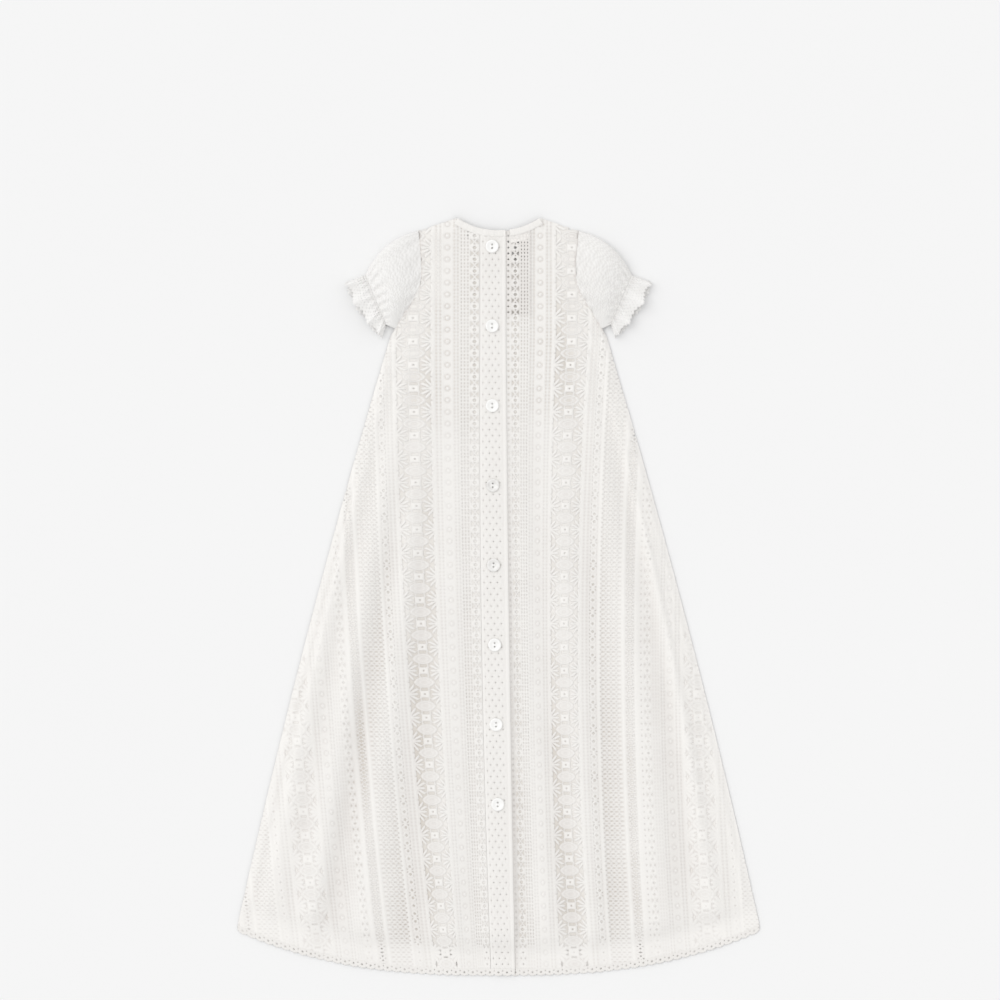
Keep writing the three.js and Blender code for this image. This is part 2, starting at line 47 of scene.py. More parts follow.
# Outline of the body
NECK_HALF, NECK_TOP, NECK_DROP, NECK_CURVE = 49, 436.5, 15, 2.2
SHOULDER_HALF, SHOULDER_Y = 92.5, 422
UNDERARM_HALF, UNDERARM_Y = 124.5, 300
HEM_HALF, HEM_SIDE, HEM_CENTRE, HEM_CURVE = 300, -376, -426.5, 2.6
SIDE_MID = 219
FRONT_NECK_HALF, FRONT_NECK_DROP = 52, 48
ARMHOLE_RISE = [0, 0.2, 0.33, 0.45, 0.62, 0.88, 1]
ARMHOLE_HALF = [124.5, 110.5, 101, 93, 89, 91, 92.5]

# Shift along the gown from the heights above to the shared frame
Y_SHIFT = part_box("front_panel")[0][1] / MM - HEM_CENTRE

# Where the chest begins and where it is reached, and half the width of a grid that covers the gown
CHEST_FROM, CHEST_FULL = 170, 250
GRID_HALF = 302

# Levels of the cloth, from the surface up
SURFACE_GAP = 0.4
FRONT_LACE_Z = 0.9
FRONT_LINING_Z = 1.9
BACK_LINING_Z = 4.4
BACK_LACE_Z = 5.1

# How far the back lace drops to its seams, and how far the placket lifts where it laps
SEAM_DROP = 3.6
OVERLAP_RISE = 1.0

# Widths of the linings as shares of the lace's width, heights of the lace strip at the hem and of the
# lining's hem as shares of the skirt, and the grid steps of the plain cloth
LINING_SHARE, FRONT_LINING_SHARE = 0.985, 0.96
HEM_STRIP, LINING_HEM = 0.04, 0.028
LINING_STEP, FRONT_LINING_STEP, BAND_STEP = 3.6, 5.0, 1.6
FRONT_LINING_INSET = 6

# Fold lines of the back from its left side to its right side: where each crosses the chest, the middle
# and the hem of the skirt, then how far it lifts off the layers below at those three places
FOLDS = np.array([
    [-124.5, -219, -300, 0, 0, 0],
    [-119, -210, -289, 0, 0, 0],
    [-115, -202, -270, 1, 5, 5],
    [-108, -186, -246, 0.5, 2, 3],
    [-98, -164, -220, 2.5, 8, 7],
    [-88, -139, -200, 2, 1.5, 1],
    [-76, -117, -160, 2.5, 7, 8],
    [-61.3, -89, -93, 2, 1.5, 1],
    [-42, -58, -50, 2.5, 5, 7.5],
    [-31, -33, -24, 1.5, 3, 4.5],
    [-21.7, -19.5, -9, 2, 4.5, 6.5],
    [-13.7, -11.5, -1, 2, 4.5, 6.5],
    [8.5, 12.5, 19, 2, 4.5, 6.5],
    [13, 17.5, 25.5, 0.8, 1.6, 1.6],
    [29, 34, 56, 2.5, 4.5, 7],
    [45, 54, 96, 2, 2, 0.8],
    [64.4, 84, 112, 2.5, 6.5, 7],
    [76, 116, 133, 2, 2.5, 2],
    [90, 150, 182, 2.5, 8, 8],
    [103, 183, 226, 0.5, 0.8, 2.5],
    [110, 194, 249, 1.5, 6, 7],
    [115, 203, 271, 0.5, 2, 1.5],
    [119, 211, 289, 0, 0, 0],
    [124.5, 219, 300, 0, 0, 0],
])
PLACKET_SEAM = FOLDS[10]
PLACKET_EDGE = FOLDS[12]

# Depth of the deepest trough, and the share of a fold's lift that is left at the hem and at the chest
TROUGH_DEPTH = 7
HEM_FOLDS, CHEST_FOLDS = 0.12, 0.55

# Centre lines of the two daisy bands at the chest, the middle and the hem
DAISY_LEFT = (-98, -87, -59)
DAISY_RIGHT = (84.5, 75.5, 88)

# How far the stripes run on each side of the placket before the outline cuts them
LEFT_REACH, RIGHT_REACH = 300, 290

# Repeats of the lace along its stripes
DAISY_REPEAT = 27.0
LACE_PHASE = -2.3
DIAMOND = 21.2 / 3
MESH, MESH_REPEAT = 2.7, 4.68
RING_REPEAT = DAISY_REPEAT / 2
SMALL_REPEAT = DAISY_REPEAT / 3
ROW_STEP = DAISY_REPEAT / 20
LADDER_REPEAT = 3 * ROW_STEP
NET_REPEAT = 4 * ROW_STEP

# Daisy band: root of the petals and edge of the band from its middle, petals, and the ovals between
DAISY_ROOT, DAISY_EDGE = 19.3, 18.2
PETAL_TURNS = [-80, -54, -27, 0, 27, 54, 80]
PETAL, MIDDLE_PETAL, PETAL_HALF = 13.6, 12.2, 1.6
OVAL_HALF, OVAL_DEPTH = (11.6, 6.3), 5.5
FAR_OUT = -9.0

# Thread: how far in from a gap it is rounded, and how deep it and a closed gap sink
THREAD_ROUND, THREAD_SINK, GAP_SINK = 0.8, 0.35, 0.3

# Nearest that a field may come to zero at a grid point, so that no sliver is cut
SLIVER = 0.004

# Field of a stripe with no gaps, and how much more relief the lace has on the chest
FILL = 1.2
CHEST_CRISP = 1.0

# Tone of the lace: flat thread, then what relief, the rounded rim and the closed gaps add or take
THREAD_TONE, RELIEF_TONE, RIM_TONE, GAP_TONE, TOP_TONE = 0.76, 0.7, 0.2, 0.6, 1.4

# Painted shade of the lace: how much darker it is in deep folds, in the crease at the armhole seams,
# in the shadow beside the placket's edge and in the hollow over the slit; and how much paler it is at
# the sides of the skirt
FOLD_SHADE, ARMHOLE_SHADE, LAP_SHADOW, SLIT_SHADE, SIDE_PALE = 0.4, 0.85, 0.5, 0.4, 0.2
# The placket is darker all over; of the two sleeves, which share one net, the right is darker as
# painted shade
PLACKET_DARK, LEFT_SLEEVE_DARK, RIGHT_SLEEVE_DARK = 0.2, 0.14, 0.42
# How far down from the chest the painted shadow beside the placket takes to grow full
LAP_RUN = 250

# Tone of the plain cloth and the trims, and what the lining gains at its sides and loses on the chest
LINING_TONE, LINING_SIDE, LINING_CHEST = 0.9, 0.35, 0.22
FRONT_TONE, BAND_TONE, BINDING_TONE = 0.8, 1.1, 1.05

# Narrow pieces
PLACKET_WIDTH = 29
NECK_BAND_HALF, NECK_BAND_RISE, LINING_SHOULDER_RISE = 36, 0.88, 0.98
SLIT_RIGHT, SLIT_FOOT, SLIT_SWELL, SLIT_LAP = 38.5, 325, 1.4, 4
BINDING_SECTION = [
    (-6.7, 0.1), (-6.4, 0.7), (-5, 1.1), (-2.5, 1.2),
    (-0.5, 1.2), (0.7, 1.0), (1.2, 0.3), (1.2, -0.8),
]
FRONT_BINDING_SECTION = [(-3, 0.3), (-2.7, 1.0), (0, 1.25), (2.7, 1.0), (3, 0.3)]
EDGING_DEPTH, EDGING_SCALLOP, EDGING_PITCH = 6.6, 1.7, 9.8
BUTTON_COUNT, BUTTON_TOP, BUTTON_PITCH = 8, 404, 91.5
BUTTON_SHIFT, BUTTON_LIFT = -0.8, 0.5
BUTTON_PLACE = [0, 0.4, 0.55, 0.68, 0.8, 0.9, 1]
BUTTON_RADIUS = [0, 3.6, 4.9, 6.4, 7.3, 7.6, 7.3]
BUTTON_HEIGHT = [1.9, 1.95, 2.3, 2.45, 2.2, 1.4, 0.2]
BUTTON_TONE = {4: 0.62, 5: 0.7}
HOLE_OFFSET, HOLE_RADIUS, HOLE_DEPTHS = 2.1, 1.0, [1.9, 1.2, 0.2]

# Sleeves
CUFF_TOP, CUFF_BOTTOM = (-153, 371), (-129, 314)
FRILL_TOP, FRILL_BOTTOM = (-175, 363), (-134, 299.5)
FRILL_BULGE, FRILL_DEPTH, FRILL_GIRTH, FRILL_HEIGHT = 5, 20, 207, 12.5
FRILL_COLUMNS = 240
SLEEVE_END, SLEEVE_TUCK, SLEEVE_BULGE = 0.94, 1.4, (-6.1, 7.3)
SLEEVE_LENGTH, SLEEVE_GIRTH = 60, 206
CUFF_HEIGHT, PUFF_LOFT = 10.5, 13
FLOWER_REPEAT = SLEEVE_GIRTH / 15

# Camera in metres, and light
CAMERA_PLACE, CAMERA_HEIGHT, VIEW_SPAN, SENSOR = (0.0017, 0.1127), 5.0, 1.15, 36
SKY_STRENGTH = 0.78
KEY_TOWARD, KEY_STRENGTH, KEY_SPREAD = (-0.85, 0.5, 1.7), 0.86, 60


def lerp(a, b, t):
    return a + (b - a) * t


def smoothstep(x, low=0.0, high=1.0):
    s = np.clip((x - low) / (high - low), 0, 1)
    return s * s * (3 - 2 * s)


# Smooth curve through a few points
def curve(x, xs, ys):
    xs, ys = np.asarray(xs, float), np.asarray(ys, float)
    slopes = np.gradient(ys, xs)
    x = np.clip(x, xs[0], xs[-1])
    i = np.clip(np.searchsorted(xs, x, side="right") - 1, 0, len(xs) - 2)
    h = xs[i + 1] - xs[i]
    t = (x - xs[i]) / h
    start = (2 * t**3 - 3 * t**2 + 1) * ys[i] + (t**3 - 2 * t**2 + t) * h * slopes[i]
    end = (3 * t**2 - 2 * t**3) * ys[i + 1] + (t**3 - t**2) * h * slopes[i + 1]
    return start + end


# Value on the curve through a hem, a middle and a chest value, at share v of the way up the skirt
def along_skirt(hem, mid, chest, v):
    return hem * (1 - v) * (1 - 2 * v) + mid * 4 * v * (1 - v) + chest * v * (2 * v - 1)


def top_edge(x):
    reach = np.abs(x)
    neck = NECK_TOP - NECK_DROP * (1 - np.minimum(reach / NECK_HALF, 1) ** NECK_CURVE)
    slope = lerp(NECK_TOP, SHOULDER_Y, (reach - NECK_HALF) / (SHOULDER_HALF - NECK_HALF))
    return np.where(reach < NECK_HALF, neck, slope)


def hem_edge(x):
    return lerp(HEM_CENTRE, HEM_SIDE, np.minimum(np.abs(x) / HEM_HALF, 1.2) ** HEM_CURVE)


# Share of the way from the hem to the underarm, along the skirt's own slant
def skirt_share(x, y):
    height = UNDERARM_Y - HEM_CENTRE
    rise = HEM_SIDE - HEM_CENTRE
    v = (y - HEM_CENTRE) / height
    for _ in range(4):
        side = along_skirt(HEM_HALF, SIDE_MID, UNDERARM_HALF, np.clip(v, 0, 1))
        slant = rise * np.minimum(np.abs(x) / side, 1.1) ** HEM_CURVE
        v = (y - HEM_CENTRE - slant) / (height - slant)
    return np.clip(v, 0, 1)


def half_width(y):
    v = np.clip((y - HEM_SIDE) / (UNDERARM_Y - HEM_SIDE), 0, 1)
    skirt = along_skirt(HEM_HALF, SIDE_MID, UNDERARM_HALF, v)
    rise = (y - UNDERARM_Y) / (SHOULDER_Y - UNDERARM_Y)
    return np.where(y < UNDERARM_Y, skirt, curve(rise, ARMHOLE_RISE, ARMHOLE_HALF))


def bodice_rise(x, y):
    return np.clip((y - UNDERARM_Y) / (top_edge(x) - UNDERARM_Y), 0, 1)


# Distance in from the nearer side, and from the nearest edge of the whole body
def side_margin(x, y):
    return half_width(y) - np.abs(x)


def body_margin(x, y):
    return np.minimum.reduce(np.broadcast_arrays(side_margin(x, y), top_edge(x) - y, y - hem_edge(x)))


def beside_armhole(y):
    return smoothstep(y, UNDERARM_Y, UNDERARM_Y + 12)


# Above the underarm the fold lines draw in with the armhole, and the placket's lines run straight up
def fold_x(fold, v, half, in_skirt):
    chest, mid, hem = fold[:3]
    still = np.clip(chest, PLACKET_SEAM[0], PLACKET_EDGE[0])
    share = (chest - still) / (UNDERARM_HALF - abs(still))
    bodice = still + share * (half - abs(still))
    return np.where(in_skirt, along_skirt(hem, mid, chest, v), bodice)


# Height of the back's folds above its flat level, or of another table of lifts on the same lines
def fold_lift(x, y, folds=FOLDS):
    v = skirt_share(x, y)
    rise = bodice_rise(x, y)
    half = curve(rise, ARMHOLE_RISE, ARMHOLE_HALF)
    in_skirt = y < UNDERARM_Y

    def lift_of(fold):
        skirt = np.maximum(0, along_skirt(fold[5], fold[4], fold[3], v))
        return np.where(in_skirt, skirt, fold[3] * (1 - rise))

    place = fold_x(folds[0], v, half, in_skirt)
    lift = lift_of(folds[0])
    total = lift.copy()
    for fold in folds[1:]:
        next_place = fold_x(fold, v, half, in_skirt)
        next_lift = lift_of(fold)
        total += (next_lift - lift) * smoothstep((x - place) / (next_place - place))
        place, lift = next_place, next_lift
    flat_hem = lerp(HEM_FOLDS, 1, smoothstep(v, 0.02, 0.065))
    flat_chest = lerp(CHEST_FOLDS, 1, smoothstep(1 - v, 0.1, 0.45))
    return total * flat_hem * flat_chest


# Each fold line raised to the highest of it and its two neighbours
def ridge_table():
    ridges = FOLDS.copy()
    lifts = np.pad(FOLDS[:, 3:], ((1, 1), (0, 0)))
    ridges[:, 3:] = np.maximum.reduce([lifts[:-2], lifts[1:-1], lifts[2:]])
    return ridges


RIDGES = ridge_table()


# How far a place lies down in a fold, from 0 on a ridge to 1 in the deepest trough
def trough(x, y):
    return np.clip((fold_lift(x, y, RIDGES) - fold_lift(x, y)) / TROUGH_DEPTH, 0, 1)


# Small soft creases of washed cloth
def rumple(x, y):
    slow = np.sin(x / 17 + 1.3 * np.sin(y / 61)) * np.sin(y / 83 + x / 140)
    quick = np.sin(x / 7.3 + y / 39) * np.sin(y / 57 - x / 23)
    return 0.45 * slow + 0.2 * quick


# How far the back lace comes down to its seams: at the sides, the hem and the shoulders
def seam_drop(x, y):
    half = half_width(y)
    skirt = 1 - smoothstep(y, UNDERARM_Y - 5, UNDERARM_Y + 20)
    side = skirt * smoothstep(np.abs(x) / half, FRONT_LINING_SHARE, 1)
    hem = 1 - smoothstep(skirt_share(x, y) / HEM_STRIP, 0.5, 1.3)
    shoulder = smoothstep(bodice_rise(x, y), 0.88, 1) * smoothstep(np.abs(x), NECK_HALF, NECK_HALF + 4)
    return SEAM_DROP * np.maximum.reduce([side, hem, shoulder])


def lace_level(x, y):
    drop = seam_drop(x, y)
    return BACK_LACE_Z + fold_lift(x, y) + rumple(x, y) * (1 - 0.8 * drop / SEAM_DROP) - drop


# Place across the gown of a line given at the chest, the middle and the hem
def line_x(line, y):
    v = np.clip((y - HEM_CENTRE) / (UNDERARM_Y - HEM_CENTRE), 0, 1)
    return along_skirt(line[2], line[1], line[0], v)


# From 0 on the skirt to 1 on the chest
def on_chest(y):
    return smoothstep(y, CHEST_FROM, CHEST_FULL)


# The slit in the lining, beside the placket and up to the neck band: positive outside it
def slit_distance(x, y):
    return np.maximum.reduce([line_x(PLACKET_EDGE, y) - SLIT_LAP - x, x - SLIT_RIGHT, SLIT_FOOT - y])


# Fields of thread: how far, in millimetres, a place lies inside the thread. Gaps are negative.
def wrap(y, repeat, phase=0.0):
    return (y - phase + repeat / 2) % repeat - repeat / 2


def rod(distance, width):
    return width / 2 - np.abs(distance)


def ring(a, b, radius, width):
    return width / 2 - np.abs(np.hypot(a, b) - radius)


def any_of(*fields):
    return np.maximum.reduce(np.broadcast_arrays(*fields))


def rails(a, width, thread):
    return any_of(rod(a, thread), rod(a - width, thread))


def ring_chain(a, y, width):
    across = a - width / 2
    rings = ring(across, wrap(y, RING_REPEAT), 2.7, 2.0)
    cross = rod(np.abs(across) - 0.8 * np.abs(wrap(y, RING_REPEAT, RING_REPEAT / 2)), 1.9)
    field = any_of(rings, cross, rails(a, width, 1.8))
    return field, 0.25 * (rings > 0)


# Row of small eyelets beside an edge
def edge_eyelets(a, y, width):
    field = np.hypot(a - width / 2, wrap(y, DAISY_REPEAT / 4)) - 1.2
    return field, 0.0 * field


def ladder(a, y, width):
    rungs = rod(wrap(y, LADDER_REPEAT), 1.9)
    posts = rod(wrap(a, width / 3), 1.75)
    field = any_of(rungs, posts)
    return field, 0.0 * field


def ring_dots(a, y, width):
    reach = np.hypot(a - width / 2, wrap(y, RING_REPEAT))
    knot = np.exp(-((reach / 1.5) ** 2))
    groove = np.exp(-(((reach - 2.5) / 0.8) ** 2))
    return FILL + 0 * reach, 0.5 * knot - 0.6 * groove


# Half daisies that face each other: long petals spread from a root at each edge of the band
def daisy_petals(across, b):
    field = np.full(np.broadcast(across, b).shape, FAR_OUT)
    out = DAISY_ROOT - np.abs(across)
    for degrees in PETAL_TURNS:
        turn = math.radians(degrees)
        long = MIDDLE_PETAL if degrees == 0 else PETAL
        along = out * math.cos(turn) + b * math.sin(turn)
        off = b * math.cos(turn) - out * math.sin(turn)
        share = np.clip(along / long, 0, 1)
        half = 0.25 + PETAL_HALF * share**0.8 * np.sqrt(np.clip(1 - share**6, 0, 1))
        petal = np.minimum(half - np.abs(off), long - along)
        field = np.maximum(field, np.where(along > 0, petal, FAR_OUT))
    return field


# Share of the way from the middle of the oval between two daisies to its rim
def oval_reach(across, c):
    power = 1.7
    return (np.abs(across / OVAL_HALF[0]) ** power + np.abs(c / OVAL_HALF[1]) ** power) ** (1 / power)


# Pierced square between the petals, with the threads that tie it to the ovals and to the petals
def daisy_heart(across, b):
    reach = np.abs(across)
    square = np.minimum(4.3 - reach, 4.0 - np.abs(b))
    square = np.minimum(square, np.hypot(across, b) - 0.9)
    ties = np.minimum(rod(reach - 4.6, 1.5), 9 - np.abs(b))
    corners = rod((reach - 4.6) - 1.2 * (np.abs(b) - 3.4), 1.7)
    corners = np.minimum(corners, np.minimum(reach - 4.2, 9.5 - reach))
    return square, any_of(ties, corners)


def daisy(a, y, width):
    across = a - width / 2
    b = wrap(y, DAISY_REPEAT)
    reach = oval_reach(across, wrap(y, DAISY_REPEAT, DAISY_REPEAT / 2))
    oval = OVAL_DEPTH * (1 - reach)
    petals = daisy_petals(across, b)
    square, ties = daisy_heart(across, b)
    edges = np.abs(across) - DAISY_EDGE
    field = any_of(oval, square, petals, ties, edges)
    outline = np.exp(-((reach - 0.84) / 0.12) ** 2)
    inner = np.exp(-((reach - 0.42) / 0.12) ** 2)
    relief = np.where(oval > 0, 0.75 * outline + 0.5 * inner - 0.55, 0)
    relief = np.where(petals > 0, np.maximum(relief, 0.3 * np.minimum(petals, PETAL_HALF)), relief)
    relief = np.where(square > 0, 0.3, relief)
    return field, relief


def plain_stripes(a, y, width):
    ribs = 0.25 * np.cos(4 * np.pi * a / width)
    pins = np.hypot(wrap(a, width / 2, width / 4), wrap(y, LADDER_REPEAT))
    return FILL + 0 * pins, ribs - 0.5 * np.exp(-((pins / 0.9) ** 2))


def small_rings(a, y, width):
    across = a - width / 2
    rings = ring(across, wrap(y, SMALL_REPEAT), 2.6, 2.2)
    links = np.minimum(rod(wrap(y, SMALL_REPEAT, SMALL_REPEAT / 2), 1.7), 4.4 - np.abs(across))
    arms = rod(wrap(y, SMALL_REPEAT), 1.6)
    arms = np.minimum(arms, np.abs(across) - 3)
    field = any_of(rings, links, arms, rails(a, width, 2.2))
    return field, 0.2 * (rings > 0)


# Fine net with a staggered eyelet in each mesh
def dotted_net(a, y, width):
    eyelet = np.hypot(wrap(a, 6, 3), wrap(y, NET_REPEAT)) - 1.0
    pin = np.hypot(wrap(a, 6), wrap(y, NET_REPEAT, NET_REPEAT / 2)) - 0.85
    field = np.minimum(eyelet, pin)
    return field, 0.15 * np.minimum(field, 1.5)


# Lattice of soft diamonds with a small eyelet in each, along the placket
def diamonds(a, y, width):
    across = wrap(a, DIAMOND, DIAMOND / 2)
    up = wrap(y, RING_REPEAT)
    slant = np.abs(across) / DIAMOND + np.abs(up) / RING_REPEAT
    eyelet = np.hypot(across, up) - 0.58
    pin = np.hypot(wrap(a, DIAMOND), wrap(y, RING_REPEAT, RING_REPEAT / 2)) - 0.58
    field = np.minimum(eyelet, pin)
    return field, 0.4 * np.exp(-(((slant - 0.5) / 0.12) ** 2))


# Sheer net of the sleeves: meshes too small to cut, so they show as a mottled relief
def sheer_net(a, y, width):
    sway = 1.5 * np.sin(4 * np.pi * y / FLOWER_REPEAT + a / 3)
    bend = 1.3 * np.sin(a / 2.3)
    flowers = np.cos(2 * np.pi * a / 4.6 + sway) * np.cos(6 * np.pi * y / FLOWER_REPEAT + bend)
    knots = np.cos(2 * np.pi * a / MESH) * np.cos(2 * np.pi * y / MESH_REPEAT)
    relief = 0.55 * flowers + 0.15 * knots
    return FILL + 0 * relief, relief


def raised_cord(a, y, width):
    height = 0.5 * np.sin(np.pi * a / width) + 0 * y
    return FILL + 0 * height, height


def zigzag(a, y, width):
    across = a - width / 2
    wave = 2 * np.abs(wrap(y, SMALL_REPEAT)) / SMALL_REPEAT - 0.5
    first = rod(across - 9 * wave, 2.4)
    second = rod(across + 9 * wave, 2.4)
    field = any_of(first, second, rails(a, width, 2.2))
    return field, 0.0 * field


# Stripes of the lace from the placket outwards: pattern, width, columns of the mesh across it
STRIPES = [
    (ring_chain, 9.5, 8),
    (ladder, 9.5, 6),
    (plain_stripes, 6.5, 4),
    (ring_dots, 10, 10),
    (plain_stripes, 7.5, 4),
    (daisy, 40, 30),
    (plain_stripes, 9, 4),
    (small_rings, 10, 8),
    (raised_cord, 4, 2),
    (dotted_net, 24, 8),
    (raised_cord, 3.5, 2),
    (zigzag, 12, 8),
    (plain_stripes, 4.5, 2),
]
EDGED_STRIPES = [(edge_eyelets, 5, 4), *STRIPES]
PLACKET_STRIPES = [
    (raised_cord, 3.4, 3),
    (diamonds, 3 * DIAMOND, 18),
    (raised_cord, 4.4, 4),
]
SLEEVE_STRIPES = [(sheer_net, SLEEVE_LENGTH, 89)]


# Place of the first daisy band in a row of stripes: its centre and its far edge
def daisy_span(stripes):
    ends = np.cumsum([wide for _, wide, _ in stripes])
    first = [pattern for pattern, _, _ in stripes].index(daisy)
    return ends[first] - stripes[first][1] / 2, ends[first]


# Columns across the stripes until a width is reached, with the stripe that each belongs to
def stripe_columns(stripes, width):
    columns, owners = [], []
    start = 0.0
    while start < width:
        for pattern, wide, count in stripes:
            columns.append(start + wide * np.arange(count) / count)
            owners += [(pattern, start, wide)] * count
            start += wide
    columns.append([start])
    owners.append(owners[-1])
    return np.concatenate(columns), owners


# Rows from hem to neck, set on the repeats of the lace
def lace_rows():
    first = math.floor((HEM_CENTRE - LACE_PHASE) / ROW_STEP)
    last = math.ceil((NECK_TOP - LACE_PHASE) / ROW_STEP)
    return LACE_PHASE + ROW_STEP * np.arange(first, last + 1)


# Thread and relief over a grid of rows and stripe columns
def lace_field(columns, owners, rows):
    field = np.zeros((len(rows), len(columns)))
    relief = np.zeros_like(field)
    first = 0
    while first < len(columns):
        pattern, start, wide = owners[first]
        last = first
        while last < len(columns) and owners[last] == owners[first]:
            last += 1
        inside = columns[None, first:last] - start
        field[:, first:last], relief[:, first:last] = pattern(inside, rows[:, None] - LACE_PHASE, wide)
        first = last
    return field, relief


# Faces of the largest connected part, without the flecks that a cut leaves at an edge
def largest_part(faces):
    label = np.arange(faces.max() + 1)
    settled = False
    while not settled:
        joined = label.copy()
        for corner in faces.T:
            np.minimum.at(joined, corner, label[faces].min(1))
        joined = joined[joined[joined]]
        settled = np.array_equal(joined, label)
        label = joined
    owner = label[faces[:, 0]]
    parts, sizes = np.unique(owner, return_counts=True)
    return faces[owner == parts[sizes.argmax()]]


# Two triangles for each cell of a grid, with the diagonals turned by turns
def grid_triangles(rows, columns):
    index = np.arange(rows * columns).reshape(rows, columns)
    a, b, c, d = index[:-1, :-1], index[:-1, 1:], index[1:, 1:], index[1:, :-1]
    odd = (np.add.outer(np.arange(rows - 1), np.arange(columns - 1)) % 2 == 1)[..., None]
    first = np.where(odd, np.stack([a, b, d], -1), np.stack([a, b, c], -1))
    second = np.where(odd, np.stack([b, c, d], -1), np.stack([a, c, d], -1))
    return np.concatenate([first.reshape(-1, 3), second.reshape(-1, 3)])


# Triangles of a grid where its field is positive, cut along the zero line. Channels are values kept at
# every grid point; they are returned for the points of the cut mesh. A cut triangle leaves a tip with
# one of its corners or a stub with two.
def cut_grid(field, channels):
    field = np.where(np.abs(field) < SLIVER, -SLIVER, field)
    triangles = grid_triangles(*field.shape)
    value = field.ravel()
    inside = value[triangles] > 0
    count = inside.sum(1)

    def turned(chosen, start):
        order = (start[:, None] + np.arange(3)) % 3
        return np.take_along_axis(triangles[chosen], order, axis=1)

    tips = turned(count == 1, np.argmax(inside[count == 1], 1))
    stubs = turned(count == 2, np.argmin(inside[count == 2], 1))
    ends = np.concatenate([tips[:, [0, 1]], tips[:, [0, 2]], stubs[:, [0, 1]], stubs[:, [0, 2]]])
    pairs, place = np.unique(np.sort(ends, 1), axis=0, return_inverse=True)
    place = place.reshape(-1) + value.size
    p, q = value[pairs[:, 0]], value[pairs[:, 1]]
    share = p / (p - q)
    data = np.stack([np.broadcast_to(kept, field.shape).ravel() for kept in channels] + [value], -1)
    cuts = lerp(data[pairs[:, 0]], data[pairs[:, 1]], share[:, None])
    cuts[:, -1] = 0
    n, m = len(tips), len(stubs)
    tip_faces = np.stack([tips[:, 0], place[:n], place[n:2 * n]], 1)
    near, far = place[2 * n:2 * n + m], place[2 * n + m:]
    first_half = np.stack([near, stubs[:, 1], stubs[:, 2]], 1)
    second_half = np.stack([near, stubs[:, 2], far], 1)
    faces = largest_part(np.concatenate([triangles[count == 3], tip_faces, first_half, second_half]))
    used, faces = np.unique(faces, return_inverse=True)
    return np.concatenate([data, cuts])[used].T, faces.reshape(-1, 3)


# Threads are rounded: they sink towards the rim of each gap
def rounded(value):
    return -THREAD_SINK * (1 - np.minimum(value / THREAD_ROUND, 1)) ** 2


def to_metres(points):
    placed = np.array(points, float)
    placed[:, 1] += Y_SHIFT
    return placed * MM


def make_piece(name, points, faces, material, node, tone):
    mesh = bpy.data.meshes.new(name)
    mesh.from_pydata(to_metres(points), [], np.asarray(faces))
    mesh.validate()
    mesh.shade_smooth()
    values = np.clip(tone, 0, TOP_TONE).astype(np.float32)
    mesh.attributes.new("tone", "FLOAT", "POINT").data.foreach_set("value", values)
    mesh.materials.append(material)
    piece = bpy.data.objects.new(name, mesh)
    bpy.context.collection.objects.link(piece)
    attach(piece, "root")
    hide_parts(node)
    return piece


# Materials
def node_tree(name):
    material = bpy.data.materials.new(name)
    material.use_nodes = True
    tree = material.node_tree
    return material, tree, tree.nodes["Principled BSDF"]


def add_node(tree, kind, inputs=None, **settings):
    node = tree.nodes.new(kind)
    for key, value in settings.items():
        setattr(node, key, value)
    for key, value in (inputs or {}).items():
        node.inputs[key].default_value = value
    return node


def colour_ramp(tree, factor, stops):
    ramp = add_node(tree, "ShaderNodeValToRGB")
    marks = ramp.color_ramp.elements
    for mark, (position, colour) in zip(marks, (stops[0], stops[-1])):
        mark.position = position
        mark.color = (*colour, 1)
    for position, colour in stops[1:-1]:
        marks.new(position).color = (*colour, 1)
    tree.links.new(factor, ramp.inputs["Fac"])
    return ramp.outputs["Color"]


def noise(tree, where, scale, detail=2.0):
    node = add_node(tree, "ShaderNodeTexNoise", {"Scale": scale, "Detail": detail, "Roughness": 0.5})
    tree.links.new(where, node.inputs["Vector"])
    return node.outputs["Fac"]


def weave(tree, where, axis, scale):
    inputs = {"Scale": scale, "Distortion": 2.0, "Detail": 1.0}
    node = add_node(tree, "ShaderNodeTexWave", inputs, bands_direction=axis)
    tree.links.new(where, node.inputs["Vector"])
    return node.outputs["Fac"]


def mix_values(tree, a, b, operation="ADD"):
    node = add_node(tree, "ShaderNodeMath", operation=operation)
    tree.links.new(a, node.inputs[0])
    tree.links.new(b, node.inputs[1])
    return node.outputs["Value"]


def map_range(tree, value, low, high, top=1.0):
    node = add_node(tree, "ShaderNodeMapRange", {"From Max": top, "To Min": low, "To Max": high})
    tree.links.new(value, node.inputs["Value"])
    return node.outputs["Result"]


def add_bump(tree, shader, height, strength, distance):
    node = add_node(tree, "ShaderNodeBump", {"Strength": strength, "Distance": distance})
    tree.links.new(height, node.inputs["Height"])
    tree.links.new(node.outputs["Normal"], shader.inputs["Normal"])


def place_and_tone(tree):
    where = add_node(tree, "ShaderNodeTexCoord").outputs["Object"]
    tone = add_node(tree, "ShaderNodeAttribute", attribute_name="tone").outputs["Fac"]
    return where, tone
